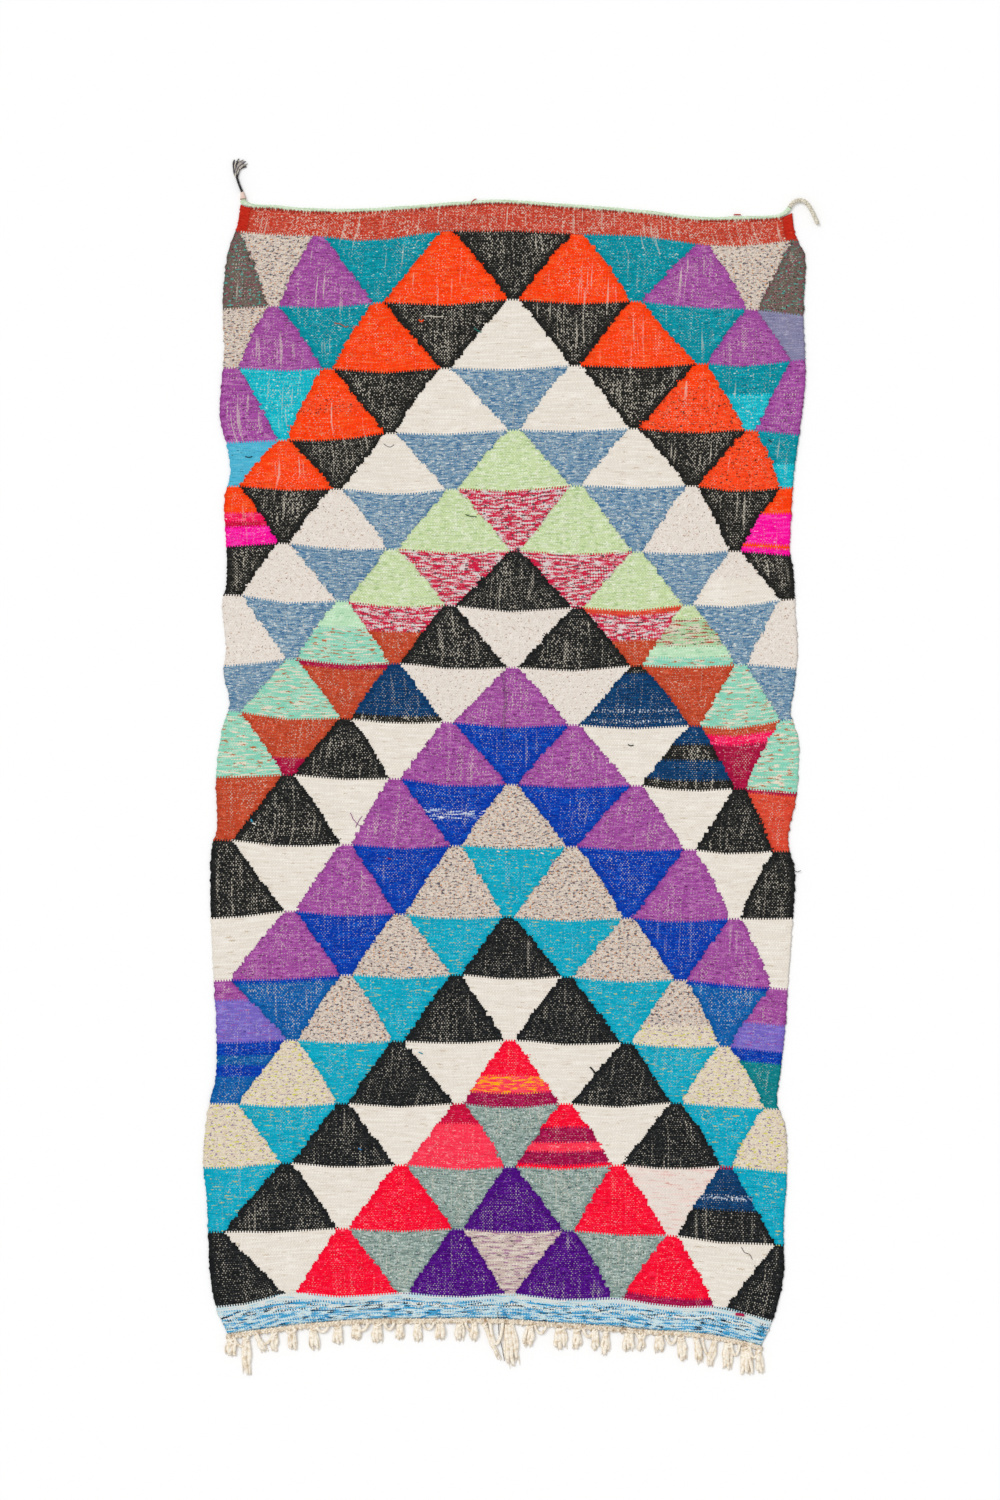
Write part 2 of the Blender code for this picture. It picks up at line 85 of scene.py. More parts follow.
class Weft(Enum):
    """The yarns that the rug is woven from."""

    TERRACOTTA = Yarn("CA4430 B83424 DA7A64 E8CCB8", 0.34, 0.20, 0.04, 0.88, 6)
    GREY_BROWN = Yarn("6C6258 84525A 50A69C 34302E", 0.34, 0.18, 0.14, 0.40, 5)
    BEIGE_TWEED = Yarn("DFD1C2 C4B6AE 625C64 CE8648", 0.42, 0.27, 0.15, 0.20, 4)
    PURPLE = Yarn("A24C9E B86EB0 7C3076 60245A", 0.34, 0.14, 0.06, 0.55, 9)
    TEAL = Yarn("048C9C 10A2B2 046C7E CFE8E2", 0.34, 0.12, 0, 0.34, 9)
    TURQUOISE = Yarn("0CB6C8 3CCCD6 0898AC D8F0EC", 0.34, 0.08, 0, 0.50, 9)
    SKY = Yarn("4DB4D4 66C2DC 2F94B4 17353C", 0.34, 0.06, 0.02, 0.12, 12)
    ORANGE = Yarn("FF3F0C FF5A26 F08050 D02C08", 0.34, 0.05, 0.04, 0.36, 12)
    ORANGE_FLECKED = Yarn("FD451A FF6238 6A2818 2E2622", 0.34, 0.12, 0.07, 0.36, 5)
    BLACK = Yarn("20201F 2D2D2B 45443C 12120F", 0.34, 0.10, 0.10, 0.86, 9)
    BLACK_DENSE = Yarn("1E1F1F 2A2B2B 3E3E38 101010", 0.34, 0.10, 0.10, 0.68, 9)
    BLACK_SOLID = Yarn("1C1E1F 282A2C 383A38 0E1010", 0.34, 0.10, 0.10, 0.46, 9)
    CREAM = Yarn("EAE1D5 F1EAE0 DED3C4 CDBCA6", 0.38, 0.10, 0.02, 0.06, 22)
    CREAM_FLECKED = Yarn("E6DCD2 EEE6DD BE9A80 8F7A70", 0.36, 0.07, 0.03, 0.06, 4)
    CREAM_PINK = Yarn("EADED4 EDD2C9 E4B8B0 D9A49C", 0.30, 0.12, 0.03, 0.06, 20)
    LILAC_GREY = Yarn("8583A4 9997B4 6C6A8C B4B2C4", 0.34, 0.10, 0.04, 0.22, 10)
    DENIM = Yarn("7092AC 9AB0BC 44729A CAD2D4", 0.42, 0.34, 0.20, 0.32, 9)
    LIME = Yarn("CBDDA8 DCE7C6 AFC98E EEF2DE", 0.38, 0.24, 0.10, 0.24, 8)
    RASPBERRY_MARL = Yarn("D01C42 E0D2D0 E07C94 58444C", 0.45, 0.20, 0.24, 0.20, 9)
    MAGENTA = Yarn("FF0A9C FF3CB2 E00488 FFA0D4", 0.32, 0.06, 0.03, 0.26, 12)
    HOT_PINK = Yarn("F81458 FF4A80 C80C40 FFC0C8", 0.34, 0.10, 0.05, 0.30, 8)
    CRIMSON = Yarn("C80E3A E01A4C A00A2C E86A88", 0.30, 0.10, 0.03, 0.20, 12)
    RASPBERRY = Yarn("A8103E BE2450 880A30 E098AC", 0.32, 0.10, 0.03, 0.42, 9)
    RUST = Yarn("C04528 CF5A3C 9C3620 E0B49C", 0.34, 0.12, 0.03, 0.46, 8)
    RUST_BRIGHT = Yarn("DA4630 E65A40 B43420 F0B8A8", 0.30, 0.10, 0.02, 0.36, 9)
    PALE_MINT = Yarn("BCE2BC CFECCC 98CCA4 E8F0DC", 0.36, 0.14, 0.05, 0.14, 12)
    MINT_MARL = Yarn("86D2B8 B0DCC4 E8DCC6 B86C40", 0.38, 0.30, 0.17, 0.12, 16)
    MIXED_MARL = Yarn("A9CFA0 DDD0BC B25038 4A5848", 0.42, 0.28, 0.18, 0.12, 14)
    NAVY = Yarn("0E3A66 184C7A 0A284A 0A1A30", 0.32, 0.14, 0.06, 0.32, 10)
    ROYAL = Yarn("0638A6 1050BC 04288A 2C66C4", 0.34, 0.14, 0.06, 0.38, 10)
    ROYAL_STREAKED = Yarn("0638A6 A8BCE0 E2E4EC 062890", 0.32, 0.24, 0.05, 0.50, 9)
    MID_BLUE = Yarn("0A5AA4 1C6CB2 084888 6CA8D0", 0.34, 0.12, 0.03, 0.56, 9)
    CYAN = Yarn("08A6C2 1EB4CC 068CA6 C6BE6C", 0.34, 0.14, 0.09, 0.32, 14)
    RED = Yarn("FC0830 FF2446 D80A2A FF7C8C", 0.32, 0.10, 0.03, 0.23, 10)
    CORAL = Yarn("FF3450 FF5066 E82440 FF9CA4", 0.32, 0.10, 0.03, 0.26, 10)
    PLUM = Yarn("9E0A44 B81E5A 7E0834 D8608C", 0.34, 0.14, 0.05, 0.26, 9)
    RED_YELLOW = Yarn("FF3452 FF4E64 FFB400 FF9820", 0.32, 0.34, 0.20, 0.16, 13)
    GREY_GREEN = Yarn("849A92 AABAB4 54686A D4DAD6", 0.42, 0.22, 0.12, 0.72, 7)
    VIOLET = Yarn("4A0A7A 5E1C90 380860 7E48A4", 0.32, 0.12, 0.04, 0.42, 8)
    PINK_BEIGE = Yarn("CCB8AE E0D4C8 A87898 645060", 0.42, 0.30, 0.12, 0.26, 12)
    YELLOW_TWEED = Yarn("E6DAC4 DCCAB6 D6D050 8E7E96", 0.42, 0.20, 0.20, 0.18, 6)
    BLUE_VIOLET = Yarn("7866C2 8E7ED0 9C58A8 5848A0", 0.36, 0.16, 0.04, 0.30, 9)
    PINE = Yarn("0A7E86 1A8E94 066A72 8CC4C0", 0.32, 0.10, 0.02, 0.42, 9)
    BAND_WHITE = Yarn("D8DFDC BEDAE2 90C2D6 ECE2DE", 0.40, 0.18, 0.12, 0.10, 18)
    BAND_BLUE = Yarn("CCE2E6 44A2D0 1A3A54 2088C0", 0.42, 0.24, 0.24, 0.22, 14)
    BAND_FLECKED = Yarn("DEE6E2 70BADA 1C2C3C F0E4DE", 0.38, 0.30, 0.18, 0.22, 12)
    NAVY_WHITE = Yarn("0E3A66 8CA2BE DDE4EC 0A284A", 0.34, 0.28, 0.12, 0.62, 2.5)
    TERRACOTTA_END = Yarn("C42C1C B42418 D0402C 941C12", 0.34, 0.12, 0.06, 0.06, 7)


@dataclass(frozen=True)
class Ply:
    """The finish of a twisted yarn: the colours of its body, second strand and shadow, and its twist."""

    colours: str
    turns: float  # a metre
    plies: int
    streaks: float
    # The blotches of painted shade in the shadow colour: their size a metre, and their strength
    blotches: float = 26.0  # a metre
    blotched: float = 0.35


GREEN_PLY = Ply("CDE0C2 E0EBD6 AEC6A2", 50, 2, 0.35)
CREAM_PLY = Ply("F3E8D5 FCF5E9 C9AC82", 0, 1, 0.5, 95.0, 0.60)
PLAIT_PLY = Ply("EDE1CC FBF2E2 A07C54", 45, 2, 0.5, 80.0, 0.80)
TIE_PLY = Ply("DDD6C4 EAE4D6 A89C80", 95, 2, 0.3)
GREY_PLY = Ply("4A4648 7C767A 1C1A1C", 190, 2, 0.4)
WRAP_PLY = Ply("E6CBBE F0DFD4 B4998A", 0, 1, 0.3)
WARP_CREAM = "E2D9C8"
TUFT_TINTS = ("4A4648", "6C6668", "D8D0C0", "5A5456", "8E888A", "3A3638")


@dataclass(frozen=True)
class Grain:
    """A noise of the cloth: its steps a warp and a pick, its layer and detail, and whether it keeps to one float."""

    a_warp: float
    a_pick: float
    layer: float
    detail: float
    on_float: bool = False


class Uneven(Enum):
    """The noises that make the cloth uneven."""

    WANDER = Grain(0.03, 0.04, 63, 0)
    LINES = Grain(0.42, 0.022, 5, 2)
    PATCHES = Grain(0.05, 0.08, 9, 3)
    ROWS = Grain(0.04, 0.7, 57, 1, True)
    OPENINGS = Grain(0.50, 0.72, 71, 0)
    BARE = Grain(0.42, 0.03, 41, 1)
    BUNCHES = Grain(0.035, 0.030, 87, 1)
    DYE_LOTS = Grain(0.015, 0.3, 13, 2, True)


def linear(colour: str) -> tuple[float, float, float, float]:
    """Turns a screen colour into the renderer's linear one.

    Args:
        colour: the colour, as RRGGBB.

    Returns:
        Its red, green and blue, and a full alpha.
    """
    parts = [value / 255 for value in bytes.fromhex(colour)]
    red, green, blue = (p / 12.92 if p <= 0.04045 else ((p + 0.055) / 1.055) ** 2.4 for p in parts)
    return red, green, blue, 1.0


# ---------------------------------------------------------------- node work

FLOAT, COLOUR, VECTOR = "NodeSocketFloat", "NodeSocketColor", "NodeSocketVector"
RAMP_STEPS = 32


class Wire:
    """A value in a node tree. Plain sums with it add math nodes."""

    def __init__(self, bench: Bench, socket: bpy.types.NodeSocket) -> None:
        """Holds a node's output and the bench of its tree."""
        self.bench, self.socket = bench, socket

    def of(self, operation: str, *others: object) -> Wire:
        """A math node's result for this value and others."""
        return self.bench.math(operation, self, *others)

    def __add__(self, other: object) -> Wire:
        """This value plus another."""
        return self.of("ADD", other)

    def __sub__(self, other: object) -> Wire:
        """This value less another."""
        return self.of("SUBTRACT", other)

    def __rsub__(self, other: object) -> Wire:
        """A plain value less this one."""
        return self.bench.math("SUBTRACT", other, self)

    def __mul__(self, other: object) -> Wire:
        """This value times another."""
        return self.of("MULTIPLY", other)

    def __truediv__(self, other: object) -> Wire:
        """This value over another."""
        return self.of("DIVIDE", other)

    def ease(self, low: float, high: float, start: float = 0.0, end: float = 1.0) -> Wire:
        """Eases this value from start at low to end at high."""
        node = self.bench.add("ShaderNodeMapRange", (self, low, high, start, end), interpolation_type="SMOOTHSTEP")
        return Wire(self.bench, node.outputs[0])


class Bench:
    """Places nodes in one tree and joins them."""

    def __init__(self, tree: bpy.types.NodeTree) -> None:
        """Works on a material's tree or a group's."""
        self.tree = tree

    def add(self, kind: str, values: tuple = (), **settings: object) -> bpy.types.Node:
        """Adds a node.

        Args:
            kind: the node's type name.
            values: wires or plain values for its first inputs, in order.
            settings: values for the node's own properties.

        Returns:
            The node.
        """
        node = self.tree.nodes.new(kind)
        for name, value in settings.items():
            setattr(node, name, value)
        for value, socket in zip(values, node.inputs):
            self.join(value, socket)
        return node

    def join(self, value: object, socket: bpy.types.NodeSocket) -> None:
        """Links a wire to a socket, or sets the socket to a plain value.

        Args:
            value: the wire or value.
            socket: the socket that takes it.
        """
        if isinstance(value, Wire):
            self.tree.links.new(value.socket, socket)
        else:
            socket.default_value = value

    def join_all(self, values: dict[str, object], node: bpy.types.Node) -> None:
        """Joins values to a node's inputs by name."""
        for name, value in values.items():
            self.join(value, node.inputs[name])

    def math(self, operation: str, *values: object) -> Wire:
        """A math node's result."""
        return Wire(self, self.add("ShaderNodeMath", values, operation=operation).outputs[0])

    def mix(self, share: object, first: object, second: object, blend: str = "MIX") -> Wire:
        """Mixes two colours.

        Args:
            share: how much of the second colour shows.
            first: the first colour.
            second: the second one.
            blend: the way they are mixed.

        Returns:
            The mixed colour.
        """
        node = self.add("ShaderNodeMix", (share,), data_type="RGBA", blend_type=blend)
        self.join(first, node.inputs[6])
        self.join(second, node.inputs[7])
        return Wire(self, node.outputs[2])

    def vector(self, *values: object) -> Wire:
        """Three values put together."""
        return Wire(self, self.add("ShaderNodeCombineXYZ", values).outputs[0])

    def split(self, vector: Wire) -> list[Wire]:
        """A vector or a colour taken apart."""
        return [Wire(self, part) for part in self.add("ShaderNodeSeparateXYZ", (vector,)).outputs]

    def uv(self, name: str) -> list[Wire]:
        """Both values of a UV map, and a nought."""
        return self.split(Wire(self, self.add("ShaderNodeUVMap", uv_map=name).outputs[0]))

    def attribute(self, name: str, part: str) -> Wire:
        """A mesh attribute's colour or value."""
        return Wire(self, self.add("ShaderNodeAttribute", attribute_name=name).outputs[part])

    def place(self) -> Wire:
        """The point on the object."""
        return Wire(self, self.add("ShaderNodeTexCoord").outputs["Object"])

    def noise(self, vector: Wire, scale: float, detail: float) -> Wire:
        """Reads a smooth noise.

        Args:
            vector: where it is read.
            scale: its cells in a unit of the vector.
            detail: its octaves of finer noise.

        Returns:
            Its value.
        """
        node = self.add("ShaderNodeTexNoise", (vector,))
        self.join_all({"Scale": scale, "Detail": detail}, node)
        return Wire(self, node.outputs[0])

    def speckle(self, *place: object) -> Wire:
        """A white noise."""
        node = self.add("ShaderNodeTexWhiteNoise", (self.vector(*place),), noise_dimensions="3D")
        return Wire(self, node.outputs[0])

    def steps(self, value: Wire, colours: list[tuple[float, ...]]) -> Wire:
        """Reads a ramp that has a flat step for each colour.

        Args:
            value: where it is read, from 0 to 1.
            colours: its colours, RAMP_STEPS at most.

        Returns:
            The colour there.
        """
        node = self.add("ShaderNodeValToRGB", (value,))
        ramp = node.color_ramp
        ramp.interpolation = "CONSTANT"
        for index, colour in enumerate(colours):
            stop = ramp.elements[index] if index < 2 else ramp.elements.new(index / RAMP_STEPS)
            stop.position, stop.color = index / RAMP_STEPS, colour
        return Wire(self, node.outputs[0])


def start_group(
    name: str, takes: dict[str, str], gives: dict[str, str]
) -> tuple[Bench, dict[str, Wire], bpy.types.Node]:
    """Starts a shader node group.

    Args:
        name: the group's name.
        takes: its inputs, name to socket kind.
        gives: its outputs, name to socket kind.

    Returns:
        A bench on the group, its inputs by name, and the node that its outputs are joined to.
    """
    bench = Bench(bpy.data.node_groups.new(name, "ShaderNodeTree"))
    for way, sockets in (("INPUT", takes), ("OUTPUT", gives)):
        for label, kind in sockets.items():
            bench.tree.interface.new_socket(name=label, in_out=way, socket_type=kind)
    taken = bench.add("NodeGroupInput")
    return bench, {k: Wire(bench, taken.outputs[k]) for k in takes}, bench.add("NodeGroupOutput")


@dataclass
class Effects:
    """The node groups that more than one finish uses."""

    groups: dict[str, bpy.types.NodeTree] = field(default_factory=dict)

    def build(self) -> None:
        """Builds each group once."""
        self.groups = {"lie": self.lie_of_floats(), "palette": self.yarn_palette(), "fibre": self.fibre_grain()}

    def place(self, bench: Bench, name: str, **values: object) -> dict[str, Wire]:
        """Places a group in a tree.

        Args:
            bench: the bench of the tree.
            name: the effect's name.
            values: its inputs by name.

        Returns:
            Its outputs by name.
        """
        node = bench.add("ShaderNodeGroup", node_tree=self.groups[name])
        bench.join_all(values, node)
        return {part.name: Wire(bench, part) for part in node.outputs}

    def lie_of_floats(self) -> bpy.types.NodeTree:
        """Builds the group that says which pick shows at a point of a weft-faced plain weave.

        Returns:
            The group.
        """
        names = ("Under", "Upper", "Shown pick", "Off centre", "Across", "Dome")
        b, take, given = start_group("lie_of_floats", {"Warp": FLOAT, "Pick": FLOAT}, dict.fromkeys(names, FLOAT))
        warp, pick, along = take["Warp"].of("FLOOR"), take["Pick"].of("FLOOR"), take["Pick"].of("FRACT")
        under = (warp + pick).of("FLOORED_MODULO", 2.0)
        upper = along.of("LESS_THAN", 0.5)
        shown = pick + under * (1.0 - upper * 2.0)
        off = (under - (along - 0.5).of("ABSOLUTE")).of("ABSOLUTE")
        side = (take["Warp"].of("FRACT") * 2.0 - 1.0).of("ABSOLUTE")
        dome = (off * (math.pi / 2)).of("COSINE") * (1.0 - side.of("POWER", 3.0))
        b.join_all(dict(zip(names, (under, upper, shown, off, side, dome))), given)
        return b.tree

    def yarn_palette(self) -> bpy.types.NodeTree:
        """Builds the group that reads a yarn's colours and habits from its number.

        Returns:
            The group.
        """
        colours, habits = ("Body", "Second", "Fleck", "Spark"), ("Marl", "Flecks", "Sparks", "Warp", "Run")
        gives = {**dict.fromkeys(colours, COLOUR), **dict.fromkeys(habits, FLOAT)}
        b, take, given = start_group("yarn_palette", {"Yarn": FLOAT}, gives)
        yarns = [w.value for w in Weft]
        place = take["Yarn"] / RAMP_STEPS
        later = place.of("GREATER_THAN", 1.0)
        wrapped = place - later

        def look_up(values: list[tuple[float, ...]]) -> Wire:
            """A value for each yarn, from two ramps."""
            return b.mix(later, b.steps(wrapped, values[:RAMP_STEPS]), b.steps(wrapped, values[RAMP_STEPS:]))

        for slot, label in enumerate(colours):
            b.join(look_up([linear(y.colours.split()[slot]) for y in yarns]), given.inputs[label])
        shares = b.split(look_up([(y.marl, y.flecks, y.sparks, 1.0) for y in yarns]))
        warp, run, _ = b.split(look_up([(y.warp, y.run / RAMP_STEPS, 0.0, 1.0) for y in yarns]))
        b.join_all(dict(zip(habits, (*shares, warp, run * RAMP_STEPS))), given)
        return b.tree

    def fibre_grain(self) -> bpy.types.NodeTree:
        """Builds the group for the fine lint of spun yarn.

        Returns:
            The group.
        """
        b, take, given = start_group("fibre_grain", {"Vector": VECTOR, "Amount": FLOAT}, {"Value": FLOAT})
        fine, broad = b.noise(take["Vector"], 900.0, 3.0), b.noise(take["Vector"], 120.0, 2.0)
        swing = (fine * 0.6 + broad * 0.4 - 0.5) * take["Amount"]
        b.join(swing * 2.0 + 1.0, given.inputs["Value"])
        return b.tree


@dataclass
class Dye:
    """Makes the materials."""

    effects: Effects
    roughness: float = 0.92
    specular: float = 0.04
    white: float = 0.985  # of the floor

    def start(self, name: str) -> tuple[bpy.types.Material, Bench, bpy.types.Node]:
        """Starts a matt cloth-like material.

        Args:
            name: its name.

        Returns:
            The material, a bench on its tree and its Principled BSDF.
        """
        material = bpy.data.materials.new(name)
        material.use_nodes = True
        shader = material.node_tree.nodes["Principled BSDF"]
        shader.inputs["Roughness"].default_value = self.roughness
        shader.inputs["Specular IOR Level"].default_value = self.specular
        return material, Bench(material.node_tree), shader

    @staticmethod
    def tone(b: Bench, shader: bpy.types.Node, colour: Wire, value: Wire) -> None:
        """Gives a shader a colour, brightened or darkened by a value."""
        b.join(b.mix(1.0, colour, b.vector(value, value, value), "MULTIPLY"), shader.inputs["Base Color"])

    @staticmethod
    def raise_up(b: Bench, shader: bpy.types.Node, height: Wire, strength: float, distance: float) -> None:
        """Gives a shader a relief.

        Args:
            b: the bench of its tree.
            shader: the shader.
            height: the relief's height, about 0 to 1.
            strength: how strongly it shows.
            distance: its full height in metres.
        """
        bump = b.add("ShaderNodeBump")
        b.join_all({"Strength": strength, "Distance": distance, "Height": height}, bump)
        b.join(Wire(b, bump.outputs[0]), shader.inputs["Normal"])

    def cloth(self, warps: int, picks: int) -> bpy.types.Material:
        """Makes the woven cloth's material.

        Args:
            warps: warps across the cloth.
            picks: picks along it.

        Returns:
            The material.
        """
        material, b, shader = self.start("woven_wool")
        share, run, place = b.uv("OFBake"), b.uv("Run"), b.place()
        warp, pick = share[0] * warps, (1.0 - share[1]) * picks
        own, above, below, depth = (b.attribute(n, "Fac") for n in ("own", "above", "below", "depth"))
        lie = self.effects.place(b, "lie", Warp=warp, Pick=pick)
        shown, dome = lie["Shown pick"], lie["Dome"]
        other = below + lie["Upper"] * (above - below)
        look = self.effects.place(b, "palette", Yarn=own + lie["Under"] * (other - own))

        def read(uneven: Uneven) -> Wire:
            """Reads one of the cloth's noises.

            Args:
                uneven: which one.

            Returns:
                Its value.
            """
            grain = uneven.value
            lengthwise = (shown if grain.on_float else pick) * grain.a_pick
            return b.noise(b.vector(warp * grain.a_warp, lengthwise, grain.layer), 1.0, grain.detail)

        # The colours along each yarn: its second strand, its flecks and its sparks
        wander = read(Uneven.WANDER)
        along, pair, single = warp / look["Run"], pick * 0.65 + shown * 0.30 + wander, pick * 0.90 + shown * 0.2
        colour = look["Body"]
        for label, amount, stretch, lengthwise, layer in (
            ("Second", "Marl", 1.0, pair, 0.0),
            ("Fleck", "Flecks", 1.4, single, 31.0),
            ("Spark", "Sparks", 2.3, single, 77.0),
        ):
            spots = b.noise(b.vector(along * stretch, lengthwise, layer), 1.0, 1.0)
            colour = b.mix((spots - (look[amount] * -0.42 + 0.71)).ease(-0.04, 0.04), colour, look[label])

        # The cream warps that show between the floats, more of them where the cloth is worn
        nearer = run[0].of("MINIMUM", run[1])
        worn = look["Warp"] * nearer.ease(1.0, 8.0)
        ends = (depth * 2.0 - 1.0).of("ABSOLUTE").ease(1.0, 0.8, 0.6, 1.0)
        opened = read(Uneven.LINES).ease(0.45, 0.68) * 0.40 + read(Uneven.PATCHES).ease(0.38, 0.62) * 0.30
        opened = opened + read(Uneven.ROWS).ease(0.58, 0.68) * 0.40 + 0.12
        opened = opened * read(Uneven.OPENINGS).ease(0.44, 0.56, 0.1, 2.0)
        bare = read(Uneven.BARE)
        loose = worn * ends * opened + bare.ease(0.60, 0.68) * worn
        chance = b.speckle(warp.of("FLOOR"), pick.of("FLOOR"), 3.0)
        gap = lie["Off centre"] - (1.0 - loose * chance.ease(0.1, 0.9, 0.8, 1.25) * 0.5)
        strand = b.mix(0.28, linear(WARP_CREAM), colour)
        colour = b.mix(gap.ease(-0.02, 0.08) * lie["Across"].ease(0.95, 0.7), colour, strand)
        worst = pick.ease(picks * 0.18, picks * 0.36, 1.0, 0.22) * read(Uneven.BUNCHES).ease(0.46, 0.58)
        drawn = bare.ease(0.63, 0.72) * worn.ease(0.10, 0.45, 0.0, 0.62)
        colour = b.mix(drawn * worst, colour, strand)

        # The light and dark of dye lots, beating and fibres, with painted shade in the grooves between floats, in the
        # slits where patches meet and along the centre crease
        value = read(Uneven.DYE_LOTS) * 0.32 - 0.40 + b.noise(b.vector(warp * 0.16, pair, 21.0), 1.0, 2.0) * 0.34
        value = value + b.speckle(warp.of("FLOOR"), shown, 2.0) * 0.14
        # Painted shade: darker towards the grooves between floats, by their dome, and darker in the slits next to
        # patch borders
        value = value + dome.ease(0.0, 0.55, -0.28, 0.06) + nearer.ease(0.0, 2.2, -0.22, 0.0)
        value = value + (self.effects.place(b, "fibre", Vector=place, Amount=0.3)["Value"] - 1.0)
        value = value * look["Warp"].ease(0.05, 0.45, 0.32, 1.0) + 1.0
        crease = (warp - (wander * 5.0 + (warps / 2 - 6.7))).of("ABSOLUTE").ease(2.4, 0.3)
        crease = crease * (pick - picks * 0.450).of("ABSOLUTE").ease(picks * 0.045, picks * 0.020)
        # Painted shade along the centre crease, whose relief also goes into the bump below
        self.tone(b, shader, colour, value - crease * 0.30)
        self.raise_up(b, shader, dome * 0.8 + b.noise(place, 60.0, 2.0) * 0.9 + crease, 0.6, 0.0012)
        return material

    def cord(self, name: str, ply: Ply) -> bpy.types.Material:
        """Makes a twisted yarn's material, which follows the map Lay: metres along, share around.

        Args:
            name: the material's name.
            ply: the yarn's finish.

        Returns:
            The material.
        """
        material, b, shader = self.start(name)
        body, second, shadow = map(linear, ply.colours.split())
        lay, place = b.uv("Lay"), b.place()
        twist = lay[0] * (ply.turns * ply.plies) + lay[1] * ply.plies
        groove = (twist.of("FRACT") * 2.0 - 1.0).of("ABSOLUTE").ease(0.72, 1.0)
        streak = b.noise(place, 210.0, 2.0).ease(0.62 - 0.3 * ply.streaks, 0.72 - 0.3 * ply.streaks)
        # The grooves between the plies are painted in the shadow colour: painted shade
        colour = b.mix(groove * 0.7, b.mix(streak, body, second), shadow)
        # Blotches of painted shade: the shadow colour mixed in unevenly
        shade_blotches = b.noise(place, ply.blotches, 2.0).ease(0.46, 0.74, 0.0, ply.blotched)
        value = self.effects.place(b, "fibre", Vector=place, Amount=0.2)["Value"]
        self.tone(b, shader, b.mix(shade_blotches, colour, shadow), value)
        self.raise_up(b, shader, value - groove, 0.5, 0.0006)
        return material

    def tinted(self, name: str) -> bpy.types.Material:
        """Makes a lint-like material whose colour is each face's own tint.

        Args:
            name: its name.

        Returns:
            The material.
        """
        material, b, shader = self.start(name)
        value = self.effects.place(b, "fibre", Vector=b.place(), Amount=0.3)["Value"]
        self.tone(b, shader, b.attribute("tint", "Color"), value)
        return material

    def floor(self) -> bpy.types.Material:
        """Makes the pale floor's plain material.

        Returns:
            The material.
        """
        material, _, shader = self.start("pale_floor")
        shader.inputs["Base Color"].default_value = (self.white, self.white, self.white, 1.0)
        return material


# ---------------------------------------------------------------- strands


def along_curve(points: tuple[Point, ...] | list[Point], step: float, height: float) -> np.ndarray:
    """Reads a smooth line through a route.

    Args:
        points: the route's points in millimetres.
        step: distance between the points read, in metres.
        height: the line's height in metres.

    Returns:
        The points read, in metres.
    """
    route = np.array(points, float) * MM
    padded = np.vstack([2 * route[0] - route[1], route, 2 * route[-1] - route[-2]])
    line: list[np.ndarray] = []
    for i in range(1, len(padded) - 2):
        a, b, c, d = padded[i - 1 : i + 3]
        count = max(2, round(float(np.linalg.norm(c - b)) / step))
        t = np.linspace(0, 1, count, endpoint=False)[:, None]
        line.append(0.5 * (2 * b + (c - a) * t + (2 * a - 5 * b + 4 * c - d) * t**2 + (3 * b - a - 3 * c + d) * t**3))
    flat = np.vstack([*line, route[-1:]])
    return np.column_stack([flat, np.full(len(flat), height)])


def show(name: str, mesh: bpy.types.Mesh, material: bpy.types.Material) -> bpy.types.Object:
    """Makes a smooth object of a mesh and puts it in the scene.

    Args:
        name: the object's name.
        mesh: its mesh.
        material: its finish.

    Returns:
        The object.
    """
    mesh.polygons.foreach_set("use_smooth", [True] * len(mesh.polygons))
    mesh.materials.append(material)
    made = bpy.data.objects.new(name, mesh)
    bpy.context.scene.collection.objects.link(made)
    LOG.info("%s: %d triangles", name, sum(p.loop_total - 2 for p in mesh.polygons))
    return made


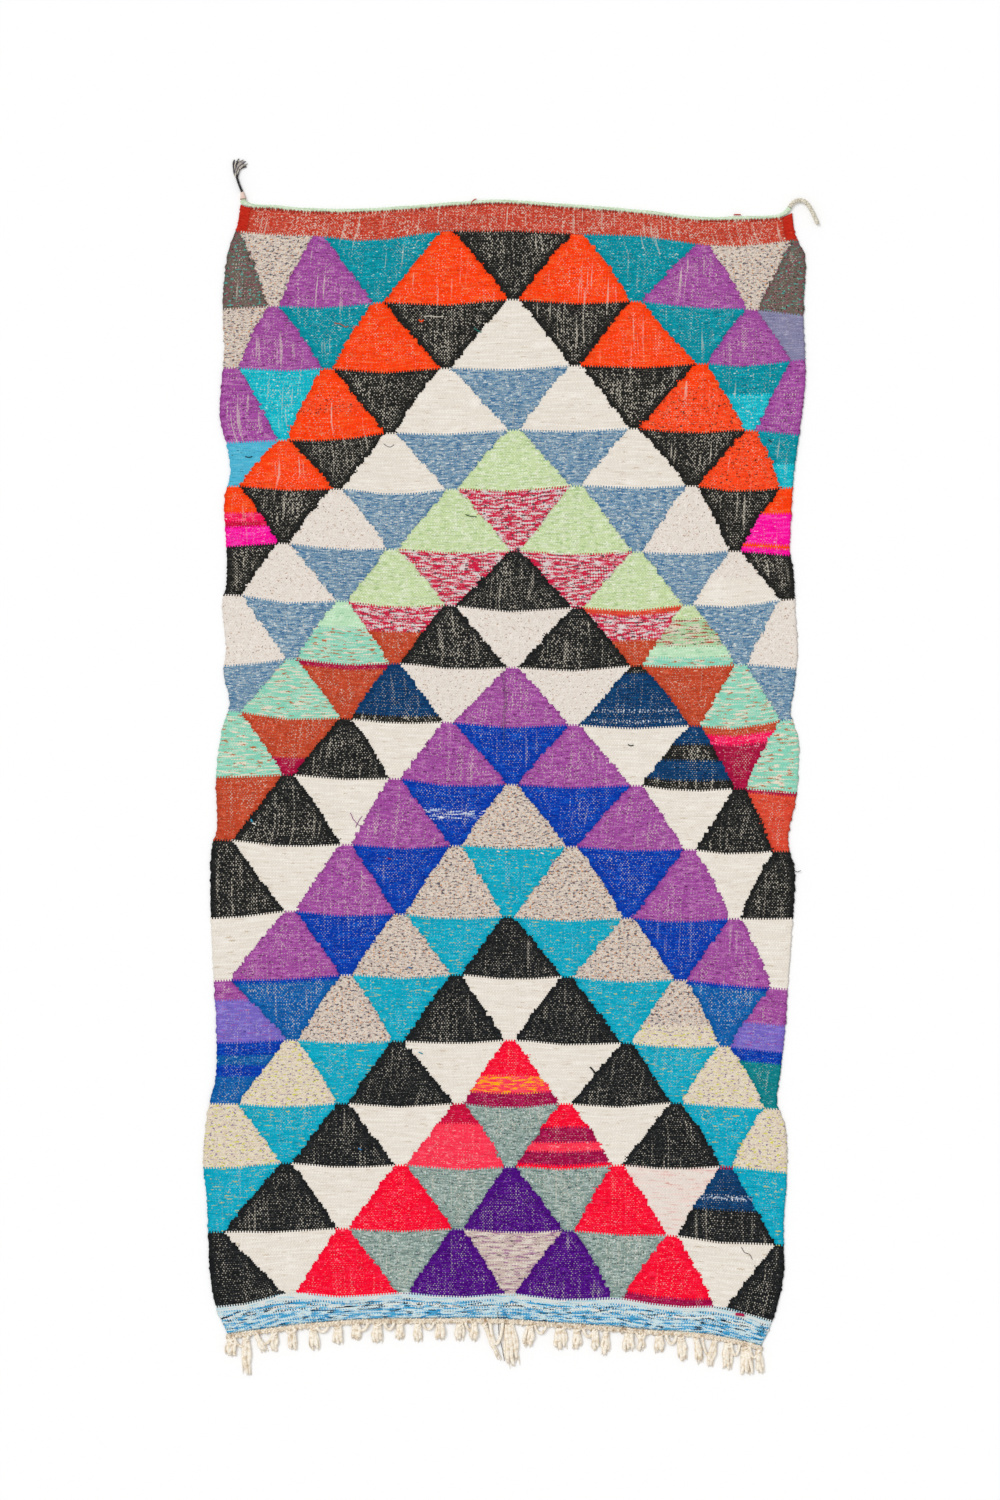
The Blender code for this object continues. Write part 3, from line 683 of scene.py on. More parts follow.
@dataclass
class Bundle:
    """Tubes of yarn that are gathered into one mesh."""

    name: str
    verts: list[np.ndarray] = field(default_factory=list)
    quads: list[np.ndarray] = field(default_factory=list)
    caps: list[np.ndarray] = field(default_factory=list)
    lays: list[np.ndarray] = field(default_factory=list)
    tints: list[tuple[int, tuple[float, ...]]] = field(default_factory=list)
    total: int = 0

    def tube(
        self, path: np.ndarray, radius: float | np.ndarray, sides: int, lobes: int = 0, depth: float = 0.0,
        turns: float = 0.0, flat: float = 1.0, tint: str = "FFFFFF",
    ) -> None:
        """Adds a closed tube along a path.

        Args:
            path: the centreline's points, in metres.
            radius: the tube's radius, one for all points or one for each.
            sides: sides of its section.
            lobes: plies that bulge out of its section.
            depth: how far the section sinks between plies, as a share of the radius.
            turns: turns of the section a metre.
            flat: the section's height against its width.
            tint: the colour, where the bundle's finish reads it.
        """
        count = len(path)
        radii = np.broadcast_to(np.asarray(radius, float), (count,))
        tangent = np.gradient(path, axis=0)
        tangent /= np.linalg.norm(tangent, axis=1, keepdims=True)
        side = np.cross(tangent, [0.0, 0.0, 1.0])
        size = np.linalg.norm(side, axis=1, keepdims=True)
        side = np.where(size > 1e-3, side / np.maximum(size, 1e-9), [1.0, 0.0, 0.0])
        up = np.cross(side, tangent)
        way = np.concatenate([[0.0], np.cumsum(np.linalg.norm(np.diff(path, axis=0), axis=1))])
        base = np.arange(sides) / sides * TURN
        swell = 1 - depth * (0.5 - 0.5 * np.cos(lobes * base)) if lobes else np.ones(sides)
        angle = base[None, :] + (TURN * turns * way)[:, None]
        reach = radii[:, None] * swell[None, :]
        out, rise = (reach * np.cos(angle))[:, :, None], (reach * np.sin(angle) * flat)[:, :, None]
        ring = path[:, None, :] + out * side[:, None, :] + rise * up[:, None, :]
        grid = self.total + np.arange(count * sides).reshape(count, sides)
        after = np.roll(grid, -1, axis=1)
        quads = np.stack([grid[:-1], after[:-1], after[1:], grid[1:]], axis=-1).reshape(-1, 4)
        around = np.arange(sides + 1) / sides
        low, high = np.meshgrid(way[:-1], around[:-1], indexing="ij")
        far, later = np.meshgrid(way[1:], around[1:], indexing="ij")
        corners = ((low, high), (low, later), (far, later), (far, high))
        self.verts.append(ring.reshape(-1, 3))
        self.quads.append(quads)
        self.lays.append(np.stack([np.stack(corner, -1) for corner in corners], axis=2).reshape(-1, 2))
        self.caps += [grid[0][::-1], grid[-1]]
        self.tints.append((len(quads), linear(tint)))
        self.total += count * sides

    def build(self, material: bpy.types.Material, read_tint: bool = False) -> bpy.types.Object:
        """Makes the bundle's object.

        Args:
            material: its finish.
            read_tint: whether its finish reads each face's tint.

        Returns:
            The object, smooth, with its map Lay.
        """
        quads = np.concatenate(self.quads)
        mesh = bpy.data.meshes.new(self.name)
        faces = quads.tolist() + [c.tolist() for c in self.caps]
        mesh.from_pydata(np.concatenate(self.verts).tolist(), [], faces)
        values = np.zeros((len(mesh.loops), 2))
        values[: len(quads) * 4] = np.concatenate(self.lays)
        mesh.uv_layers.new(name="Lay").data.foreach_set("uv", values.ravel())
        if read_tint:
            tint = mesh.attributes.new("tint", "FLOAT_COLOR", "FACE")
            colours = [np.tile(c, (n, 1)) for n, c in self.tints] + [np.array([c, c]) for _, c in self.tints]
            tint.data.foreach_set("color", np.concatenate(colours).ravel())
        mesh.validate()
        return show(self.name, mesh, material)


# ---------------------------------------------------------------- the rug's outline and rows, in mm

TOP_END = (
    (-659, 1456), (-644, 1449), (-574, 1445), (-511, 1439), (-386, 1436), (-261, 1442), (-136, 1452), (-11, 1459),
    (114, 1451), (239, 1442), (364, 1431), (489, 1416), (601, 1418), (689, 1422), (719, 1435),
)
BOTTOM_END = (
    (-691, -1367), (-636, -1358), (-511, -1342), (-449, -1336), (-366, -1330), (-261, -1328), (-11, -1328),
    (114, -1337), (239, -1345), (364, -1356), (489, -1364), (611, -1387), (641, -1397),
)


@dataclass(frozen=True)
class RowLine:
    """A line between two rows of patches: its Y at the knots, and X of the points where patches meet."""

    level: tuple[float, ...]
    meets: tuple[float, ...]


# The columns of a line's knots, by their number, from -5 at the left selvedge to 5 at the right one
KNOTS = {
    7: (-5, -4, -2, 0, 2, 4, 5),
    9: (-5, -4, -3, -1, 0, 1, 3, 4, 5),
    10: (-5, -4, -2.5, -1, 0, 1, 2, 3, 4, 5),
}
ROW_LINES = (
    RowLine((1390, 1380, 1366, 1390, 1390, 1382, 1378, 1355, 1352, 1368), (-674, -464, -144, 184, 496, 731)),
    RowLine((1195, 1200, 1198, 1205, 1218, 1208, 1200, 1192, 1178), (-579, -316, 21, 329, 619)),
    RowLine((1048, 1040, 1035, 1042, 1048, 1050, 1068), (-679, -444, -149, 176, 491, 729)),
    RowLine((860, 865, 868, 882, 892, 888, 885, 892, 878), (-554, -286, 24, 324, 614)),
    RowLine((752, 742, 730, 740, 748, 738, 748), (-676, -419, -131, 179, 469, 704)),
    RowLine((600, 610, 595, 590, 588, 590, 578), (-551, -279, 26, 331, 576)),
    RowLine((480, 460, 450, 438, 440, 450, 468), (-671, -406, -136, 184, 459, 701)),
    RowLine((302, 320, 305, 295, 298, 290, 298, 306, 295), (-534, -274, 19, 329, 591)),
    RowLine((190, 168, 158, 148, 145, 144, 168), (-674, -396, -141, 174, 476, 704)),
    RowLine((25, 30, 20, 2, 5, -2, -10, -5, -15), (-541, -274, 19, 329, 589)),
    RowLine((-132, -150, -155, -155, -160, -170, -160), (-694, -396, -121, 169, 464, 686)),
    RowLine((-328, -310, -318, -325, -328, -330, -328), (-536, -261, 9, 309, 576)),
    RowLine((-485, -480, -478, -480, -488, -495, -505), (-701, -396, -121, 156, 439, 681)),
    RowLine((-640, -632, -635, -632, -640, -648, -665), (-531, -266, 14, 306, 549)),
    RowLine((-792, -800, -800, -802, -800, -798, -805), (-681, -404, -114, 151, 429, 661)),
    RowLine((-952, -940, -945, -950, -945, -948, -965), (-546, -261, 14, 281, 554)),
    RowLine((-1112, -1112, -1112, -1115, -1120, -1140, -1145), (-716, -404, -116, 161, 419, 689)),
    RowLine((-1299, -1265, -1265, -1268, -1278, -1300, -1340), (-534, -254, 14, 281, 539)),
)

# The yarn of each chevron of patches, from the one that starts four columns out in the first row
CHEVRONS = (
    Weft.GREY_BROWN, Weft.BEIGE_TWEED, Weft.PURPLE, Weft.TEAL, Weft.ORANGE, Weft.BLACK, Weft.CREAM, Weft.DENIM,
    Weft.LIME, Weft.RASPBERRY_MARL, Weft.BLACK_DENSE, Weft.CREAM, Weft.PURPLE, Weft.ROYAL, Weft.BEIGE_TWEED, Weft.CYAN,
    Weft.BLACK_SOLID, Weft.CREAM, Weft.RED, Weft.GREY_GREEN, Weft.VIOLET, Weft.PINK_BEIGE,
)

# Whole patches, as row and column, that leave their chevron's yarn for another
WHOLE_PATCHES = {
    Weft.LILAC_GREY: ((2, 5),),
    Weft.TURQUOISE: ((3, -4),),
    Weft.SKY: ((4, -5),),
    Weft.ORANGE_FLECKED: ((4, 4),),
    Weft.CREAM_FLECKED: ((5, -3), (5, 3), (6, -4), (7, -5), (7, 0), (7, 5), (8, -1), (8, 1)),
    Weft.MINT_MARL: ((8, -4), (8, 4), (9, -5), (9, 5)),
    Weft.RUST: ((8, 3), (10, -5)),
    Weft.YELLOW_TWEED: ((14, -4), (14, 4), (15, -5), (15, 5)),
    Weft.CREAM_PINK: ((16, 3),),
}

# Other patches, as row and column, with the yarns that they take: each down to a share of the patch's height
CHANGES = {
    (3, -3): ((0.38, Weft.ORANGE), (0.62, Weft.ORANGE_FLECKED)),
    (3, 3): ((0.34, Weft.ORANGE), (1, Weft.ORANGE_FLECKED)),
    (3, 4): ((0.43, Weft.TEAL), (1, Weft.TURQUOISE)),
    (4, 5): ((0.55, Weft.TEAL), (1, Weft.TURQUOISE)),
    (5, -5): ((0.44, Weft.ORANGE), (0.58, Weft.HOT_PINK), (0.67, Weft.CRIMSON), (1, Weft.MAGENTA)),
    (5, 5): ((0.38, Weft.ORANGE), (0.84, Weft.MAGENTA), (0.91, Weft.ORANGE), (1, Weft.MAGENTA)),
    (6, 4): ((0.5, Weft.CREAM_FLECKED),),
    (7, -3): ((0.40, Weft.PALE_MINT), (1, Weft.MINT_MARL)),
    (7, 3): ((0.22, Weft.LIME), (0.65, Weft.MIXED_MARL), (0.84, Weft.PALE_MINT), (1, Weft.MINT_MARL)),
    (7, -2): ((0.45, Weft.RASPBERRY_MARL), (1, Weft.RUST)),
    (7, 2): ((0.10, Weft.RUST_BRIGHT), (0.53, Weft.RASPBERRY_MARL), (1, Weft.RUST)),
    (8, -3): ((0.10, Weft.RASPBERRY), (1, Weft.RUST)),
    (8, -2): ((0.87, Weft.NAVY), (1, Weft.BLACK)),
    (8, 2): (
        (0.12, Weft.BLACK), (0.70, Weft.NAVY), (0.73, Weft.NAVY_WHITE), (0.87, Weft.NAVY), (0.90, Weft.NAVY_WHITE),
        (1, Weft.NAVY),
    ),
    (9, -4): ((0.70, Weft.RUST), (1, Weft.RASPBERRY)),
    (9, 4): ((0.11, Weft.RUST), (0.27, Weft.HOT_PINK), (1, Weft.RASPBERRY)),
    (9, 3): ((0.27, Weft.NAVY), (0.53, Weft.BLACK), (0.84, Weft.NAVY), (1, Weft.BLACK)),
    (10, 5): ((0.06, Weft.RASPBERRY), (1, Weft.RUST_BRIGHT)),
    (10, -1): ((0.38, Weft.ROYAL), (0.55, Weft.ROYAL_STREAKED)),
    (13, -5): ((0.31, Weft.PURPLE), (1, Weft.BLUE_VIOLET)),
    (13, 5): ((0.58, Weft.PURPLE), (1, Weft.BLUE_VIOLET)),
    (13, -4): ((0.07, Weft.ROYAL), (1, Weft.MID_BLUE)),
    (13, 4): ((0.07, Weft.ROYAL), (1, Weft.MID_BLUE)),
    (13, 3): ((0.68, Weft.BEIGE_TWEED), (1, Weft.YELLOW_TWEED)),
    (14, -5): ((0.20, Weft.ROYAL), (0.36, Weft.MID_BLUE), (0.56, Weft.ROYAL), (1, Weft.MID_BLUE)),
    (14, 5): ((0.21, Weft.ROYAL), (1, Weft.PINE)),
    (14, 0): ((0.53, Weft.RED), (0.79, Weft.RED_YELLOW), (1, Weft.PLUM)),
    (15, -1): ((0.29, Weft.CRIMSON), (1, Weft.CORAL)),
    (15, 1): ((0.36, Weft.RED), (0.59, Weft.PLUM), (0.73, Weft.CORAL), (0.93, Weft.PLUM), (1, Weft.RED)),
    (16, 4): ((0.04, Weft.RASPBERRY), (0.38, Weft.NAVY), (0.42, Weft.NAVY_WHITE), (0.57, Weft.NAVY)),
    (17, 3): ((0.88, Weft.RED), (1, Weft.PLUM)),
}
CHANGES |= {patch: ((1, yarn),) for yarn, patches in WHOLE_PATCHES.items() for patch in patches}


def sway(seed: float, at: float | np.ndarray) -> float | np.ndarray:
    """A steady uneven wave between about -1 and 1, one for each seed."""
    return 0.5 * np.sin(at * 1.0 + seed * 7.1) + 0.3 * np.sin(at * 2.3 + seed * 3.7) + 0.2 * np.sin(at * 4.9 + seed)


def scatter(*seeds: float) -> float:
    """A fixed odd number between 0 and 1 for any seeds."""
    total = math.sin(sum((i + 1) * 12.9898 * s + 78.233 * i for i, s in enumerate(seeds))) * 43758.5453
    return total - math.floor(total)


def read_edge(rows: tuple[Point, ...], at: float | np.ndarray) -> np.ndarray:
    """Reads an edge on the smooth line through its table, as the solid's own outline is read.

    Args:
        rows: the edge's table in millimetres.
        at: places along it, in metres.

    Returns:
        The edge's reach there, in metres.
    """
    x, y = np.array(sorted(rows), float).T
    back, fore = np.maximum(np.arange(len(x)) - 1, 0), np.minimum(np.arange(len(x)) + 1, len(x) - 1)
    slope = (y[fore] - y[back]) / (x[fore] - x[back])
    at = np.clip(np.asarray(at, float) / MM, x[0], x[-1])
    index = np.clip(np.searchsorted(x, at, side="right") - 1, 0, len(x) - 2)
    span, rise = x[index + 1] - x[index], y[index + 1] - y[index]
    t = (at - x[index]) / span
    start, end = slope[index] * span - rise, rise - slope[index + 1] * span
    return (y[index] + rise * t + t * (1 - t) * ((1 - t) * start + t * end)) * MM


Stretch = tuple[int, int, Weft]  # first warp, last warp, yarn


@dataclass
class ClothMap:
    """Where each warp and pick of the cloth lies, and which yarn each pick carries."""

    outline: list[Point]
    warps: int = 420
    solid_end: int = 8  # warps at each end of the heading band
    pick_pitch: float = 0.0044
    apex_half: float = 0.0135
    bulge: float = 0.007
    wave: float = 0.0045
    ripple: float = 0.0012
    beyond: float = 0.15  # from the last meeting point of an odd line to its selvedge knot
    pair_tooth: float = 0.0062
    pick_tooth: float = 0.0042

    def __post_init__(self) -> None:
        """Lays the grid of warps and picks inside the cloth's outline."""
        corner = {
            (a, b): max(range(len(self.outline)), key=lambda i: a * self.outline[i][0] + b * self.outline[i][1])
            for a in (-1, 1)
            for b in (-1, 1)
        }
        self.left = self.side(corner[-1, 1], corner[-1, -1])
        self.right = self.side(corner[1, 1], corner[1, -1])
        self.rows: list[tuple[int, float]] = []
        lines: list[tuple[np.ndarray, np.ndarray]] = []
        across, last = np.linspace(0, 1, self.warps + 1), len(ROW_LINES)
        for row in range(last + 1):
            count = round((self.level(row, 0.0) - self.level(row + 1, 0.0)) / self.pick_pitch)
            self.rows += [(row, (i + 0.5) / count) for i in range(count)]
            lines += [self.pick_line(row, i / count, across) for i in range(count + (row == last))]
        self.picks = len(self.rows)
        self.x, self.y = np.array(lines).transpose(1, 0, 2)

    def side(self, first: int, last: int) -> np.ndarray:
        """Reads a selvedge off the outline.

        Args:
            first: the number of the outline's point at one end.
            last: the number of the point at the other.

        Returns:
            Rows of Y and X, with Y rising.
        """
        size = len(self.outline)
        step = 1 if (last - first) % size < (first - last) % size else -1
        line = [self.outline[first]]
        while first != last:
            first = (first + step) % size
            line.append(self.outline[first])
        table = np.array(line)[:, ::-1]
        return table[np.argsort(table[:, 0])]

    def meet(self, line: int, column: int) -> float:
        """X of the point where patches meet, at a line between rows and a column."""
        start = -5 if line % 2 == 0 else -4
        return ROW_LINES[line].meets[(column - start) // 2] * MM

    def level(self, line: int, x: float | np.ndarray) -> np.ndarray:
        """Y of a line between rows.

        Args:
            line: 0 for the cloth's top end, then the lines from the heading band down, and last its bottom end.
            x: places across, in metres.

        Returns:
            Y there, in metres.
        """
        if line == 0:
            return read_edge(TOP_END, x)
        if line > len(ROW_LINES):
            return read_edge(BOTTOM_END, x)
        line -= 1
        meets, columns = np.array(ROW_LINES[line].meets) * MM, np.arange(-5, 6, 2)
        if line % 2:
            columns = np.array(KNOTS[7])
            meets = np.array([meets[0] - self.beyond, *meets, meets[-1] + self.beyond])
        column = np.interp(x, meets, columns)
        level = ROW_LINES[line].level
        knots = np.array(KNOTS[len(level)])
        base = np.interp(column, knots, np.array(level) * MM + self.wave * np.cos(math.pi * (knots - line)))
        return base - self.wave * np.cos(math.pi * (column - line)) + self.ripple * sway(line, np.asarray(x) * 22)

    def pick_line(self, row: int, share: float, across: np.ndarray) -> tuple[np.ndarray, np.ndarray]:
        """Lays one line between picks.

        Args:
            row: the row of patches that it is in, 0 for the heading band.
            share: how far down that row it is.
            across: shares of the cloth's width.

        Returns:
            X and Y of each warp on it.
        """
        y = np.full_like(across, float(self.level(row, 0.0)) * (1 - share) + float(self.level(row + 1, 0.0)) * share)
        for _ in range(4):
            left, right = (np.interp(y, side[:, 0], side[:, 1]) for side in (self.left, self.right))
            x = left + across * (right - left)
            y = self.level(row, x) * (1 - share) + self.level(row + 1, x) * share
        return x, y

    def borders(self, row: int, share: float, pick: int) -> list[float]:
        """Places the borders between a row's eleven patches.

        Args:
            row: the row.
            share: how far down the row it is.
            pick: the pick's number, which sets how the teeth fall.

        Returns:
            X of the ten borders.
        """
        found = []
        for column in range(-5, 5):
            out = 1 if (row + column) % 2 == 0 else -1
            top = self.meet(row - 1, column + (out < 0)) + out * self.apex_half
            foot = self.meet(row, column + (out > 0)) - out * self.apex_half
            bow = self.bulge * (0.6 + 0.8 * scatter(row, column, 3)) * 4 * share * (1 - share) * out
            tooth = self.pair_tooth * (scatter(row, column, pick // 2) - 0.5)
            tooth += self.pick_tooth * (scatter(row, column, pick, 1) - 0.5)
            found.append(top + (foot - top) * share + bow + tooth)
        return found

    def yarn(self, row: int, column: int, share: float) -> Weft:
        """The yarn of a patch at a share of its height."""
        changes = (yarn for down_to, yarn in CHANGES.get((row, column), ()) if share <= down_to)
        return next(changes, CHEVRONS[row - abs(column) + 4])

    def stretches(self, pick: int) -> list[Stretch]:
        """Lays the yarns along a pick.

        Args:
            pick: the pick's number.

        Returns:
            Its stretches of yarn, from the left selvedge.
        """
        row, share = self.rows[pick]
        if row == 0:
            end, last = self.solid_end, self.warps - self.solid_end
            return [
                (0, end, Weft.TERRACOTTA_END), (end, last, Weft.TERRACOTTA), (last, self.warps, Weft.TERRACOTTA_END),
            ]
        if row == len(ROW_LINES):
            turn = scatter((pick + pick // 7) // 3, 5)
            yarn = Weft.BAND_BLUE if turn < 0.48 else Weft.BAND_FLECKED if turn < 0.82 else Weft.BAND_WHITE
            return [(0, self.warps, Weft.BAND_WHITE if share < 0.24 else yarn)]
        middle = (self.x[pick] + self.x[pick + 1]) / 2
        cuts = [0, *(int(np.argmin(np.abs(middle - x))) for x in self.borders(row, share, pick)), self.warps]
        patches = zip(cuts, cuts[1:], range(-5, 6))
        return [(start, end, self.yarn(row, column, share)) for start, end, column in patches if end > start]

    @staticmethod
    def at(stretches: list[Stretch], warp: int) -> Weft:
        """The yarn over a warp."""
        return stretches[min(bisect_left([s[1] for s in stretches], warp + 1), len(stretches) - 1)][2]


# ---------------------------------------------------------------- the cloth


@dataclass
class WovenCloth:
    """The weft-faced cloth, one thin closed sheet with a face for each stretch of each pick."""

    dye: Dye
    solid: bpy.types.Object
    columns: int = 18
    thickness: float = 0.0034
    clearance: float = 0.0004
    lift: float = 0.0016
    flat: tuple[float, float] = (1.43, 2.80)
    area: float = 3.99

    def outline(self) -> list[Point]:
        """The CAD cloth's outline, in order round its middle."""
        found = {(round(v.co.x, 6), round(v.co.y, 6)) for v in self.solid.data.vertices if 0.0005 < v.co.z < 0.0035}
        return sorted(found, key=lambda p: math.atan2(p[1], p[0]))

    def relief(self, x: np.ndarray, y: np.ndarray) -> np.ndarray:
        """Reads the cloth's soft ridges.

        Args:
            x: places across, in metres.
            y: places along, in metres.

        Returns:
            Their height above the floor there.
        """
        broad = 0.5 + 0.5 * np.sin(x * 5.1 + 1.3 * np.sin(y * 2.2)) * np.sin(y * 4.3 + 1.1 * np.sin(x * 3.1))
        small = 0.5 + 0.5 * np.sin(x * 17 + 2.0 * np.sin(y * 6.0)) * np.sin(y * 14 + np.sin(x * 9.0))
        crease = np.exp(-(((x - 0.012 - 0.006 * np.sin(y * 3)) / 0.010) ** 2))
        return self.lift * (0.7 * broad + 0.5 * small + 0.8 * crease)

    def layers(self, lay: ClothMap, ks: np.ndarray, ws: np.ndarray) -> np.ndarray:
        """Lays the points of both faces, the selvedges a little ragged and the rims thinned.

        Args:
            lay: the cloth's map.
            ks: the pick line of each point.
            ws: its warp.

        Returns:
            The upper face's points and then the lower one's.
        """
        x, y = lay.x[ks, ws].copy(), lay.y[ks, ws].copy()
        for side, sign in ((0, -1), (lay.warps, 1)):
            at = ws == side
            turns = np.modf(np.abs(np.sin(ks[at] * 12.9898 + side)) * 437.585)[0]
            x[at] += sign * (0.0030 * turns**2 - 0.0010 + 0.0010 * sway(side + 2, ks[at] * 0.9))
        floor = self.relief(x, y)
        rim = (ws == 0) | (ws == lay.warps) | (ks == 0) | (ks == lay.picks)
        top = np.column_stack([x, y, floor + self.thickness - 0.0007 * rim])
        return np.vstack([top, np.column_stack([x, y, floor + self.clearance + 0.0006 * rim])])

    def build(self) -> bpy.types.Object:
        """Builds the cloth.

        Returns:
            The cloth, mapped and dressed.
        """
        lay = ClothMap(self.outline())
        woven = [lay.stretches(k) for k in range(lay.picks)]
        index = {w: i + 0.5 for i, w in enumerate(Weft)}
        fixed = {round(i * lay.warps / self.columns) for i in range(self.columns + 1)}
        fixed |= {1, 3, lay.warps - 3, lay.warps - 1}
        breaks = [sorted(fixed.union(*(s[:2] for s in row))) for row in woven]
        lines = [breaks[0], *(sorted({*breaks[k - 1], *breaks[k]}) for k in range(1, lay.picks)), breaks[-1]]
        spots = [(k, w) for k, line in enumerate(lines) for w in line]
        number = {spot: i for i, spot in enumerate(spots)}
        size = len(spots)
        faces: list[list[int]] = []
        facts: list[tuple[float, float, float, float]] = []
        spans: list[tuple[int, int]] = []

        def between(k: int, first: int, last: int) -> list[int]:
            """The points of a pick line from one warp to another, both included."""
            line = lines[k]
            return [number[k, w] for w in line[bisect_left(line, first) : bisect_left(line, last + 1)]]

        for k in range(lay.picks):
            for start, end, yarn in woven[k]:
                inner = [w for w in breaks[k] if start <= w <= end]
                for a, b in zip(inner, inner[1:]):
                    above = lay.at(woven[max(k - 1, 0)], (a + b) // 2)
                    below = lay.at(woven[min(k + 1, lay.picks - 1)], (a + b) // 2)
                    upper, lower = between(k, a, b), between(k + 1, a, b)
                    faces += [lower + upper[::-1], [v + size for v in upper + lower[::-1]]]
                    facts += [(index[yarn], index[above], index[below], lay.rows[k][1])] * 2
                    spans += [(start, end)] * 2
        last = lay.picks
        for rim in (  # each in the order that turns its wall outwards
            [(0, w) for w in lines[0]],
            [(last, w) for w in reversed(lines[last])],
            [(k, 0) for k in range(last, -1, -1)],
            [(k, lay.warps) for k in range(last + 1)],
        ):
            for first, second in zip(rim, rim[1:]):
                a, b = number[first], number[second]
                pick, warp = min(first[0], second[0], last - 1), min(first[1], second[1], lay.warps - 1)
                own = index[lay.at(woven[pick], warp)]
                faces.append([a, b, b + size, a + size])
                facts.append((own, own, own, 0.0))
                spans.append((0, lay.warps))

        ks, ws = np.array(spots).T
        mesh = bpy.data.meshes.new("woven_cloth")
        mesh.from_pydata(self.layers(lay, ks, ws).tolist(), [], faces)
        for slot, name in enumerate(("own", "above", "below", "depth")):
            mesh.attributes.new(name, "FLOAT", "FACE").data.foreach_set("value", [f[slot] for f in facts])
        corners = np.zeros(len(mesh.loops), np.int64)
        mesh.loops.foreach_get("vertex_index", corners)
        warp, pick = ws[corners % size], ks[corners % size]
        span = np.repeat(np.array(spans), [len(f) for f in faces], axis=0)
        shares = np.column_stack([warp / lay.warps, 1 - pick / lay.picks])
        mesh.uv_layers.new(name="OFBake").data.foreach_set("uv", shares.ravel())
        runs = np.column_stack([warp - span[:, 0], span[:, 1] - warp]).astype(float)
        mesh.uv_layers.new(name="Run").data.foreach_set("uv", runs.ravel())
        LOG.info("woven_cloth: %d picks", lay.picks)
        return show("woven_cloth", mesh, self.dye.cloth(lay.warps, lay.picks))


# ---------------------------------------------------------------- ends and ties


